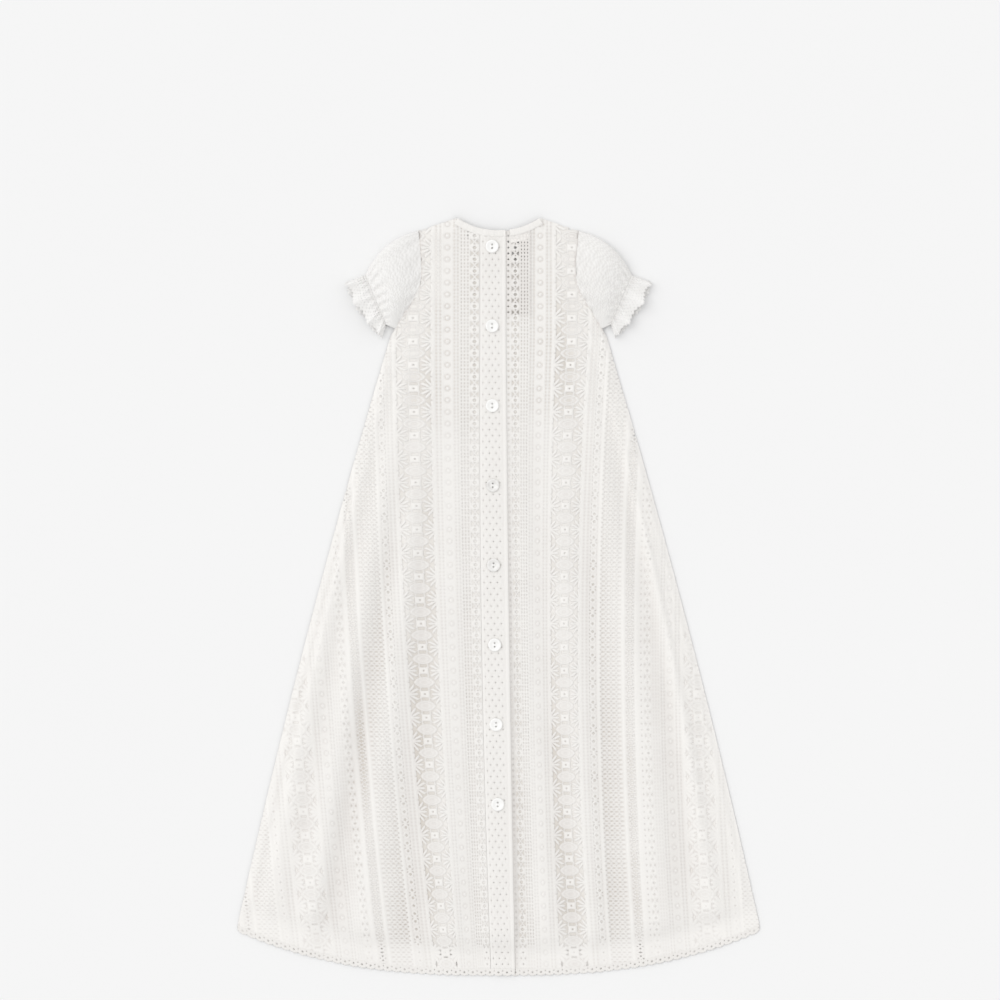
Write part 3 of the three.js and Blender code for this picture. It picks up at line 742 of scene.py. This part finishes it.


# Cotton cloth: colour follows the tone attribute, which holds the thread's height and painted shade,
# and varies in faint clouds; yarns show as bump
def cloth_material(name, dark, light, yarn_scale, bump):
    material, tree, shader = node_tree(name)
    where, tone = place_and_tone(tree)
    clouds = map_range(tree, noise(tree, where, 22.0, 3.0), -0.22, 0.22)
    fleck = map_range(tree, noise(tree, where, 900.0), -0.12, 0.12)
    level = mix_values(tree, mix_values(tree, tone, clouds), fleck)
    height = map_range(tree, level, 0.0, 1.0, TOP_TONE)
    palest = [c * 1.06 for c in light]
    colour = colour_ramp(tree, height, [(0.0, dark), (0.62, light), (1.0, palest)])
    tree.links.new(colour, shader.inputs["Base Color"])
    tree.links.new(map_range(tree, noise(tree, where, 260.0), 0.66, 0.92), shader.inputs["Roughness"])
    warp = weave(tree, where, "X", yarn_scale)
    weft = weave(tree, where, "Y", yarn_scale)
    yarn = mix_values(tree, warp, weft, "MULTIPLY")
    add_bump(tree, shader, mix_values(tree, yarn, noise(tree, where, 1500.0)), bump, 0.0004)
    shader.inputs["Sheen Weight"].default_value = 0.1
    shader.inputs["Sheen Roughness"].default_value = 0.5
    shader.inputs["Specular IOR Level"].default_value = 0.25
    return material


# Pearl: cloudy, smooth, with a faint cool and warm drift
def pearl_material():
    material, tree, shader = node_tree("pearl_shell")
    where, tone = place_and_tone(tree)
    drift = map_range(tree, noise(tree, where, 160.0, 3.0), -0.35, 0.35)
    level = mix_values(tree, tone, drift)
    stops = [(0.3, (0.62, 0.60, 0.58)), (0.75, (0.88, 0.87, 0.85)), (1.0, (0.95, 0.945, 0.93))]
    tree.links.new(colour_ramp(tree, level, stops), shader.inputs["Base Color"])
    tree.links.new(map_range(tree, noise(tree, where, 500.0), 0.18, 0.34), shader.inputs["Roughness"])
    add_bump(tree, shader, noise(tree, where, 420.0), 0.12, 0.0002)
    shader.inputs["Coat Weight"].default_value = 0.4
    shader.inputs["Coat Roughness"].default_value = 0.12
    return material


LACE_DARK, LACE_LIGHT = (0.75, 0.715, 0.685), (0.888, 0.869, 0.842)
LACE_CLOTH = cloth_material("lace_cotton", LACE_DARK, LACE_LIGHT, 620.0, 0.22)
SLEEVE_CLOTH = cloth_material("sleeve_net", (0.77, 0.755, 0.735), (0.915, 0.905, 0.89), 620.0, 0.2)
# The lining's brown dark end is what the painted shade in its folds and under the slit tends towards
LINING_CLOTH = cloth_material("lining_lawn", (0.45, 0.38, 0.295), (0.885, 0.86, 0.828), 900.0, 0.2)
TRIM_CLOTH = cloth_material("trim_cotton", LACE_DARK, LACE_LIGHT, 800.0, 0.22)
PEARL = pearl_material()


# Lace sheet: stripes on a grid, cut by a margin field, and laid out by a placing function
def lace_sheet(name, node, stripes, width, rows, clip, place, shade, closeness=None, cloth=LACE_CLOTH):
    columns, owners = stripe_columns(stripes, width)
    field, relief = lace_field(columns, owners, rows)
    gap = np.clip(-field, 0, 1)
    u, y = np.meshgrid(columns, rows)
    if closeness:
        field = field + closeness(u, y)
        relief = relief * (1 + CHEST_CRISP * on_chest(y))
    field = np.minimum(field, clip(u, y))
    (u, y, relief, gap, value), faces = cut_grid(field, [u, y, relief, gap])
    points = place(u, y, relief + rounded(value) - GAP_SINK * gap)
    rim = np.minimum(value, THREAD_ROUND)
    tone = THREAD_TONE + RELIEF_TONE * relief + RIM_TONE * rim - GAP_TONE * gap
    tone -= shade(points[:, 0], points[:, 1])
    return make_piece(name, points, faces, cloth, node, tone)


# Painted shade in the folds, in the crease along the gathered armhole seams, in the shadow beside the
# placket and in the hollow over the slit; paler at the sides of the skirt
def lace_shade(x, y):
    seam = np.exp(-((side_margin(x, y) / 2.2) ** 2)) * beside_armhole(y)
    outer = smoothstep(np.abs(x) / half_width(y), 0.6, 0.95) * (y < UNDERARM_Y)
    slit = 1 - smoothstep(slit_distance(x, y), -2, 7)
    past_placket = x - line_x(PLACKET_EDGE, y)
    lap = np.exp(-((past_placket / 3.5) ** 2)) * smoothstep(CHEST_FULL - y, 0, LAP_RUN)
    dark = FOLD_SHADE * trough(x, y) + ARMHOLE_SHADE * seam + LAP_SHADOW * lap + SLIT_SHADE * slit
    return dark - SIDE_PALE * outer


# Back lace of one side. The stripes start at the placket and follow the daisy band's own line.
def back_lace(name, node, side, start_line, daisy_line, stripes, width):
    centre, end = daisy_span(stripes)

    def place_x(u, y):
        start = line_x(start_line, y)
        stretch = np.abs(line_x(daisy_line, y) - start) / centre
        return start + side * (stretch * np.minimum(u, end) + np.maximum(u - end, 0))

    def clip(u, y):
        return body_margin(place_x(u, y), y)

    def place(u, y, relief):
        x = place_x(u, y)
        flat = 1 - 0.7 * seam_drop(x, y) / SEAM_DROP
        return np.stack([x, y, lace_level(x, y) + relief * flat], -1)

    # How much wider the threads are: towards the sides, over the slit, and at the hem and the seams
    def closeness(u, y):
        x = place_x(u, y)
        outer = 0.45 * smoothstep(u, end, end + 50) + 0.5 * smoothstep(u, end + 60, end + 100)
        hem = 1 - smoothstep(skirt_share(x, y) / HEM_STRIP, 0.8, 0.95)
        seam = smoothstep(np.abs(x) / half_width(y), 0.96, 0.98)
        armhole = (1 - smoothstep(side_margin(x, y), 1.5, 4)) * beside_armhole(y)
        slit = 1 - smoothstep(slit_distance(x, y), -1, 3)
        return outer + 0.1 * slit + np.maximum.reduce([hem, 0.7 * seam, 5 * armhole])

    return lace_sheet(name, node, stripes, width, lace_rows(), clip, place, lace_shade, closeness)


# Placket: sewn to the left back along its seam, then lapped over the right back's edge
def placket_place(u, y):
    share = u / PLACKET_WIDTH
    x = lerp(line_x(PLACKET_SEAM, y) + 0.3, line_x(PLACKET_EDGE, y), share)
    return x, lace_level(x, y) + OVERLAP_RISE * smoothstep(u, 0.5, 8)


def placket_lace():
    def clip(u, y):
        x, _ = placket_place(u, y)
        edge = np.minimum(u, PLACKET_WIDTH - u) + 0.4
        return np.minimum(edge, body_margin(x, y))

    def place(u, y, relief):
        x, z = placket_place(u, y)
        return np.stack([x, y, z + relief], -1)

    def shade(x, y):
        return PLACKET_DARK

    rows = lace_rows()
    return lace_sheet(
        "placket_lace", "button_placket", PLACKET_STRIPES, PLACKET_WIDTH, rows, clip, place, shade,
    )


# Margin of the front's deeper neckline, or of one that is wider and deeper by an inset
def front_neck_margin(x, y, inset=0):
    across = x / (FRONT_NECK_HALF + inset)
    down = (y - top_edge(FRONT_NECK_HALF)) / (FRONT_NECK_DROP + inset)
    return 50 * (np.hypot(across, down) - 1)


# Front lace, a plain net that lies flat on the surface
def front_lace():
    step = SMALL_REPEAT / 3
    half = SMALL_REPEAT / 2
    columns = np.arange(-GRID_HALF, GRID_HALF + 1, step)
    x, y = np.meshgrid(columns, np.arange(HEM_CENTRE - step, NECK_TOP, step))
    eyelets = np.hypot(wrap(x, SMALL_REPEAT), wrap(y, SMALL_REPEAT))
    staggered = np.hypot(wrap(x, SMALL_REPEAT, half), wrap(y, SMALL_REPEAT, half))
    net = np.minimum(eyelets - 1.7, staggered - 1.3)
    net += 2 * (1 - smoothstep(skirt_share(x, y) / HEM_STRIP, 1, 1.3))
    field = np.minimum.reduce([net, body_margin(x, y), front_neck_margin(x, y)])
    (x, y, value), faces = cut_grid(field, [x, y])
    points = np.stack([x, y, FRONT_LACE_Z + rounded(value)], -1)
    tone = np.full(len(x), FRONT_TONE)
    return make_piece("front_lace", points, faces, LACE_CLOTH, "front_panel", tone)


# Plain cloth on a grid, cut by a margin field
def plain_sheet(name, node, step, margin, level, shade):
    columns = np.arange(-GRID_HALF, GRID_HALF + 1, step)
    x, y = np.meshgrid(columns, np.arange(HEM_CENTRE, NECK_TOP + step, step))
    (x, y, _), faces = cut_grid(margin(x, y), [x, y])
    points = np.stack([x, y, level(x, y)], -1)
    return make_piece(name, points, faces, LINING_CLOTH, node, shade(x, y))


def lining_bounds(x, y, share):
    hem = (skirt_share(x, y) - LINING_HEM) * (UNDERARM_Y - HEM_CENTRE)
    return np.minimum(share * half_width(y) - np.abs(x), hem)


def neck_band_foot(x):
    return lerp(UNDERARM_Y, top_edge(x), NECK_BAND_RISE)


# The lining ends at the neck bands in the middle and runs up to the shoulders beside them
def lining_top(x):
    beside = smoothstep(np.abs(x), NECK_BAND_HALF, NECK_BAND_HALF + 3)
    rise = lerp(NECK_BAND_RISE, LINING_SHOULDER_RISE, beside)
    return lerp(UNDERARM_Y, top_edge(x), rise)


def back_lining_cloth():
    def margin(x, y):
        bounds = lining_bounds(x, y, LINING_SHARE)
        return np.minimum.reduce([bounds, lining_top(x) - y, slit_distance(x, y)])

    def level(x, y):
        return lace_level(x, y) - BACK_LACE_Z + BACK_LINING_Z

    # Painted shade in the folds, darker on the chest and paler at the sides
    def shade(x, y):
        outer = smoothstep(np.abs(x) / half_width(y), 0.55, 0.9)
        dark = FOLD_SHADE * trough(x, y) + LINING_CHEST * on_chest(y)
        return LINING_TONE + LINING_SIDE * outer - dark

    return plain_sheet("back_lining_cloth", "back_lining", LINING_STEP, margin, level, shade)


def front_lining_cloth():
    def margin(x, y):
        bounds = lining_bounds(x, y, FRONT_LINING_SHARE)
        neck = front_neck_margin(x, y, FRONT_LINING_INSET)
        return np.minimum.reduce([bounds, neck_band_foot(x) - y, neck])

    def level(x, y):
        in_slit = 1 - smoothstep(slit_distance(x, y), -4, 4)
        return FRONT_LINING_Z + in_slit * (SLIT_SWELL + fold_lift(x, y))

    # Painted shade in the hollow under the slit, made blotchy
    def shade(x, y):
        mottle = np.sin(x / 4.1 + np.sin(y / 9)) * np.sin(y / 6.3 + x / 11)
        return LINING_TONE - (0.25 + 0.1 * mottle) * (1 - smoothstep(slit_distance(x, y), -3, 5))

    step = FRONT_LINING_STEP
    return plain_sheet("front_lining_cloth", "front_lining", step, margin, level, shade)


def neck_band(name, node, first, last):
    def margin(x, y):
        foot = neck_band_foot(x) + 0.3
        return np.minimum.reduce([x - first, last - x, y - foot, top_edge(x) - y])

    def level(x, y):
        return BACK_LINING_Z + fold_lift(x, y) + 0.2

    def shade(x, y):
        return np.full(len(x), BAND_TONE)

    return plain_sheet(name, node, BAND_STEP, margin, level, shade)


# Outward direction in plan along a row of points that runs in +X on the upper edge
def outward_of(path):
    along = np.gradient(path[:, :2], axis=0)
    out = np.stack([-along[:, 1], along[:, 0], 0 * along[:, 0]], -1)
    return out / np.linalg.norm(out, axis=1, keepdims=True)


# Strip of cloth swept along a row of points, by a section given as distance outwards and height
def swept(name, node, path, section):
    count = len(section)
    outward = outward_of(path)
    rows = [path + out * outward + [0, 0, up] for out, up in section]
    points = np.stack(rows, 1).reshape(-1, 3)
    i, j = np.meshgrid(np.arange(len(path) - 1), np.arange(count - 1), indexing="ij")
    corner = (i * count + j).ravel()
    faces = np.stack([corner, corner + count, corner + count + 1, corner + 1], -1)
    tone = np.full(len(points), BINDING_TONE)
    return make_piece(name, points, faces, TRIM_CLOTH, node, tone)


def neck_binding(name, node, first, last, level):
    x = np.arange(first, last + 0.1, 1.2)
    y = top_edge(x)
    ripple = 0.25 * np.sin(x * 1.9) + 0.2 * np.sin(x * 0.83)
    path = np.stack([x, y, level(x, y) + ripple], -1)
    return swept(name, node, path, BINDING_SECTION)


def front_neck_binding():
    turn = np.linspace(0.12, 0.88, 90) * math.pi
    x = (FRONT_NECK_HALF - 3) * np.cos(turn)
    y = top_edge(FRONT_NECK_HALF) - (FRONT_NECK_DROP - 3) * np.sin(turn)
    path = np.stack([x, y, 0 * x], -1)
    return swept("front_neck_binding_cloth", "neck_binding_front", path, FRONT_BINDING_SECTION)


# Scalloped edging: an eyelet in each scallop, smaller ones between, and a picot rim
def edging(name, node, first, last, level, scallop=EDGING_SCALLOP, shift=0.0):
    step = EDGING_PITCH / 10
    columns = step * np.arange(math.floor(first / step), math.ceil(last / step) + 1)
    x, depth = np.meshgrid(columns, np.arange(0, 10, 0.86))
    middle = wrap(x, EDGING_PITCH, shift)
    side = wrap(x, EDGING_PITCH, shift + EDGING_PITCH / 2)
    picot = 0.35 * np.cos(2 * np.pi * x / (EDGING_PITCH / 3))
    rim = EDGING_DEPTH + scallop * np.cos(np.pi * middle / EDGING_PITCH) + picot
    eyelet = np.hypot(middle, 0.9 * (depth - 4.3)) - 1.0
    dot = np.hypot(side, depth - 2.6) - 0.6
    field = np.minimum.reduce([rim - depth, eyelet, dot, x - first + 0.01, last - x + 0.01])
    (x, depth, value), faces = cut_grid(field, [x, depth])
    top = hem_edge(x)
    points = np.stack([x, top + 0.4 - depth, level(x, top) + rounded(value)], -1)
    tone = 0.5 + 0.3 * np.minimum(value, THREAD_ROUND)
    return make_piece(name, points, faces, TRIM_CLOTH, node, tone)


# Level of the left back's trims, which rise from a place on to lap over the right back
def lapped_level(start, run):
    def level(x, y):
        return lace_level(x, y) + OVERLAP_RISE * smoothstep(x, start, start + run)

    return level


def front_level(x, y):
    return np.full(len(x), FRONT_LACE_Z)


# Left armhole from shoulder to underarm
def armhole_plan(share):
    place = share * SLEEVE_END * (len(ARMHOLE_HALF) - 1)
    steps = np.arange(len(ARMHOLE_HALF))
    x = curve(place, steps, ARMHOLE_HALF[::-1])
    y = lerp(UNDERARM_Y, SHOULDER_Y, curve(place, steps, ARMHOLE_RISE[::-1]))
    tuck = lerp(0.3, SLEEVE_TUCK, smoothstep(share, 0.3, 0.6))
    return -x + tuck, y


# Place in plan on the line between two points
def on_line(first, last, share):
    return lerp(first[0], last[0], share), lerp(first[1], last[1], share)


# Place on the left sleeve in plan: t from armhole to cuff, share from its upper to its lower end
def sleeve_plan(t, share):
    x, y = armhole_plan(share)
    cuff_x, cuff_y = on_line(CUFF_TOP, CUFF_BOTTOM, share)
    bulge = 4 * t * (1 - t) * (1 - share) ** 2
    bulge_x, bulge_y = SLEEVE_BULGE
    return lerp(x, cuff_x, t) + bulge_x * bulge, lerp(y, cuff_y, t) + bulge_y * bulge


# Place on the left frill in plan: t from the cuff to the frill's edge
def frill_plan(t, share):
    out = np.array([CUFF_BOTTOM[1] - CUFF_TOP[1], CUFF_TOP[0] - CUFF_BOTTOM[0]], float)
    out /= np.linalg.norm(out)
    bulge = FRILL_BULGE * t * 4 * share * (1 - share)
    cuff_x, cuff_y = on_line(CUFF_TOP, CUFF_BOTTOM, share)
    edge_x, edge_y = on_line(FRILL_TOP, FRILL_BOTTOM, share)
    return lerp(cuff_x, edge_x, t) + out[0] * bulge, lerp(cuff_y, edge_y, t) + out[1] * bulge


# Flattened ring: turn goes from the underarm fold along the lower side, then back over the upper side
def ring_height(turn, height):
    fullness = np.sqrt(np.abs(np.sin(turn)))
    side = 0.4 * height
    upper = lerp(side, height, fullness)
    lower = lerp(side, 0.6, np.minimum(1, 1.4 * fullness))
    return np.where(np.sin(turn) < 0, upper, lower)


def ring_share(turn):
    return (1 + np.cos(turn)) / 2


# Rises from 0 to 1 over a first range and falls back over a second one
def between(t, rise, fall):
    return smoothstep(t, *rise) * (1 - smoothstep(t, *fall))


# Gathers at the armhole and at the cuff, and broad crumples between them
def sleeve_creases(t, turn):
    head = 1.3 * between(t, (0, 0.06), (0.02, 0.4)) * np.sin(17 * turn)
    cuff = 1.9 * between(t, (0.6, 0.9), (0.92, 1)) * np.sin(21 * turn + 0.6 * np.sin(4 * turn))
    crumple = 1.1 * np.sin(np.pi * t) * np.sin(7 * turn + 3 * t) * np.sin(3 * turn + 5 * t)
    return head + cuff + crumple


def puff_sleeve(name, node, side, dark):
    def place(u, y, relief):
        t = np.clip(u / SLEEVE_LENGTH, 0, 1)
        turn = 2 * np.pi * y / SLEEVE_GIRTH
        share = ring_share(turn)
        x, plan_y = sleeve_plan(t, share)
        puff = PUFF_LOFT * (1 - 0.7 * share**1.5) * np.sin(np.pi * t) ** 1.1
        z = ring_height(turn, lerp(BACK_LACE_Z - 0.2, CUFF_HEIGHT, t) + puff)
        creases = np.abs(np.sin(turn)) * (sleeve_creases(t, turn) + relief)
        z = z + np.where(np.sin(turn) < 0, creases, relief)
        return np.stack([side * x, plan_y, np.maximum(z, SURFACE_GAP)], -1)

    def clip(u, y):
        return SLEEVE_LENGTH - u + 0.01

    # Darker all over; the right sleeve's greater share is painted shade
    def shade(x, y):
        return dark

    rows = np.linspace(0, SLEEVE_GIRTH, 265)
    return lace_sheet(
        name, node, SLEEVE_STRIPES, SLEEVE_LENGTH, rows, clip, place, shade, cloth=SLEEVE_CLOTH,
    )


# Flat frill: a fine net with a scalloped edge
def frill_net():
    step = FRILL_GIRTH / FRILL_COLUMNS
    u, depth = np.meshgrid(np.arange(FRILL_COLUMNS + 1) * step, np.arange(0, FRILL_DEPTH + 1.6, 0.8))
    meshes = np.hypot(wrap(u, 4 * step), wrap(depth, 5.6)) - 0.45
    staggered = np.hypot(wrap(u, 4 * step, 2 * step), wrap(depth, 5.6, 2.4)) - 0.45
    rim = FRILL_DEPTH + 0.6 * np.cos(np.pi * u / (2 * step)) - depth
    field = np.minimum.reduce([meshes, staggered, rim, FRILL_GIRTH - u + 0.01])
    return cut_grid(field, [u, depth])


# Frill: gathered lace that spreads from the cuff in uneven ruffles
def cuff_frill(name, node, side):
    (u, depth, value), faces = frill_net()
    t = depth / FRILL_DEPTH
    turn = 2 * np.pi * u / FRILL_GIRTH
    swing = 9 * turn + 0.9 * np.sin(2 * turn + 1)
    upper = np.abs(np.sin(turn))
    share = ring_share(turn) + 0.035 * t * upper * np.cos(swing)
    x, y = frill_plan(t * (1 + 0.1 * np.sin(swing)), share)
    pleats = 1.3 * between(t, (0, 0.15), (0.2, 0.7)) * np.sin(27 * turn + 1.5 * np.sin(5 * turn))
    wave = 3.5 * t * np.sin(swing) + pleats
    z = ring_height(turn, lerp(CUFF_HEIGHT, FRILL_HEIGHT, t)) + np.sqrt(upper) * wave + rounded(value)
    points = np.stack([side * x, y, np.maximum(z, SURFACE_GAP)], -1)
    # Painted shade in the ruffles' hollows and in the gathers by the elastic; lighter on the crests
    tone = 0.95 + 0.1 * wave - 0.5 * (1 - smoothstep(t, 0.05, 0.4))
    return make_piece(name, points, faces, SLEEVE_CLOTH, node, tone)


# Face of a button: dished, with a raised rim, a rounded edge and two thread holes
def button_face():
    turn, place = np.meshgrid(np.linspace(0, 2 * np.pi, 65), np.linspace(0.001, 1, 31))
    radius = curve(place, BUTTON_PLACE, BUTTON_RADIUS)
    height = curve(place, BUTTON_PLACE, BUTTON_HEIGHT)
    x, y = radius * np.cos(turn), radius * np.sin(turn)
    holes = np.minimum(np.hypot(x, y - HOLE_OFFSET), np.hypot(x, y + HOLE_OFFSET)) - HOLE_RADIUS
    holes = np.where(place > 0.75, 2.0, holes)
    (x, y, height, _), faces = cut_grid(holes, [x, y, height])
    return np.stack([x, y, height], -1), faces


def hole_wall(centre):
    turn, height = np.meshgrid(np.linspace(0, 2 * np.pi, 25), HOLE_DEPTHS)
    x, y = HOLE_RADIUS * np.cos(turn), centre + HOLE_RADIUS * np.sin(turn)
    points = np.stack([x, y, height], -1).reshape(-1, 3)
    return points, grid_triangles(*turn.shape)


# Two-hole button on the placket, counted from the neck
def pearl_button(number):
    y = BUTTON_TOP - BUTTON_PITCH * (number - 1)
    x = (line_x(PLACKET_SEAM, y) + line_x(PLACKET_EDGE, y)) / 2 + BUTTON_SHIFT
    z = float(lace_level(np.array(x), np.array(y))) + OVERLAP_RISE + BUTTON_LIFT
    points, faces = button_face()
    for centre in (-HOLE_OFFSET, HOLE_OFFSET):
        wall, wall_faces = hole_wall(centre)
        faces = np.concatenate([faces, wall_faces + len(points)])
        points = np.concatenate([points, wall])
    tone = np.full(len(points), BUTTON_TONE.get(number, 1.0))
    name, node = f"pearl_button_{number}", f"button_{number}"
    return make_piece(name, points + [x, y, z], faces, PEARL, node, tone)


# The gown's pieces
back_lace_left = back_lace(
    "back_lace_left", "back_panel_left", -1, PLACKET_SEAM, DAISY_LEFT, STRIPES, LEFT_REACH,
)
back_lace_right = back_lace(
    "back_lace_right", "back_panel_right", 1, PLACKET_EDGE, DAISY_RIGHT, EDGED_STRIPES, RIGHT_REACH,
)
placket = placket_lace()
front = front_lace()
back_lining = back_lining_cloth()
front_lining = front_lining_cloth()
band_left = neck_band("neck_band_left", "lining_neck_band_left", -33, 8)
band_right = neck_band("neck_band_right", "lining_neck_band_right", 12.5, 35)
binding_left = neck_binding(
    "neck_binding_left_cloth", "neck_binding_left", -47.5, 8.5, lapped_level(-21.5, 7.5),
)
binding_right = neck_binding("neck_binding_right_cloth", "neck_binding_right", 12.5, 47.5, lace_level)
binding_front = front_neck_binding()
hem_left = edging(
    "hem_lace_left", "hem_edging_left", -HEM_HALF, PLACKET_EDGE[2], lapped_level(PLACKET_SEAM[2], 8),
)
hem_right = edging(
    "hem_lace_right", "hem_edging_right", PLACKET_EDGE[2] + 0.3, HEM_HALF, lace_level,
)
hem_front = edging(
    "hem_lace_front", "hem_edging_front", -HEM_HALF, HEM_HALF, front_level, 0, EDGING_PITCH / 5,
)
puff_left = puff_sleeve("puff_left", "sleeve_left", 1, LEFT_SLEEVE_DARK)
puff_right = puff_sleeve("puff_right", "sleeve_right", -1, RIGHT_SLEEVE_DARK)
frill_left = cuff_frill("frill_left", "cuff_frill_left", 1)
frill_right = cuff_frill("frill_right", "cuff_frill_right", -1)
for number in range(1, BUTTON_COUNT + 1):
    pearl_button(number)


# Plain floor
def floor():
    bpy.ops.mesh.primitive_plane_add(size=8, location=(0, 0, 0))
    plane = bpy.context.object
    plane.name = "floor"
    material, tree, shader = node_tree("floor_paper")
    where = add_node(tree, "ShaderNodeTexCoord").outputs["Object"]
    stops = [(0.0, (0.90, 0.90, 0.90)), (1.0, (0.91, 0.91, 0.91))]
    colour = colour_ramp(tree, noise(tree, where, 3.0), stops)
    tree.links.new(colour, shader.inputs["Base Color"])
    shader.inputs["Roughness"].default_value = 0.9
    shader.inputs["Specular IOR Level"].default_value = 0.1
    plane.data.materials.append(material)


# Broad soft light from one direction
def broad_light(name, toward, strength, spread):
    light = bpy.data.lights.new(name, "SUN")
    light.energy = strength
    light.angle = math.radians(spread)
    lamp = bpy.data.objects.new(name, light)
    x, y, z = toward
    tilt = math.atan2(math.hypot(x, y), z)
    heading = math.atan2(y, x) + math.pi / 2
    lamp.rotation_euler = (tilt, 0, heading)
    bpy.context.collection.objects.link(lamp)


def studio():
    scene = bpy.context.scene
    scene.view_settings.view_transform = "Standard"
    world = bpy.data.worlds.new("studio")
    world.use_nodes = True
    sky = world.node_tree.nodes["Background"].inputs
    sky["Color"].default_value = (1, 1, 1, 1)
    sky["Strength"].default_value = SKY_STRENGTH
    scene.world = world
    broad_light("key", KEY_TOWARD, KEY_STRENGTH, KEY_SPREAD)


# Camera straight above
def overhead_camera():
    camera = bpy.data.cameras.new("overhead")
    camera.sensor_width = SENSOR
    camera.lens = SENSOR * CAMERA_HEIGHT / VIEW_SPAN
    rig = bpy.data.objects.new("overhead", camera)
    x, y = CAMERA_PLACE
    rig.location = (x, y + Y_SHIFT * MM, CAMERA_HEIGHT)
    bpy.context.collection.objects.link(rig)
    bpy.context.scene.camera = rig


floor()
studio()
overhead_camera()
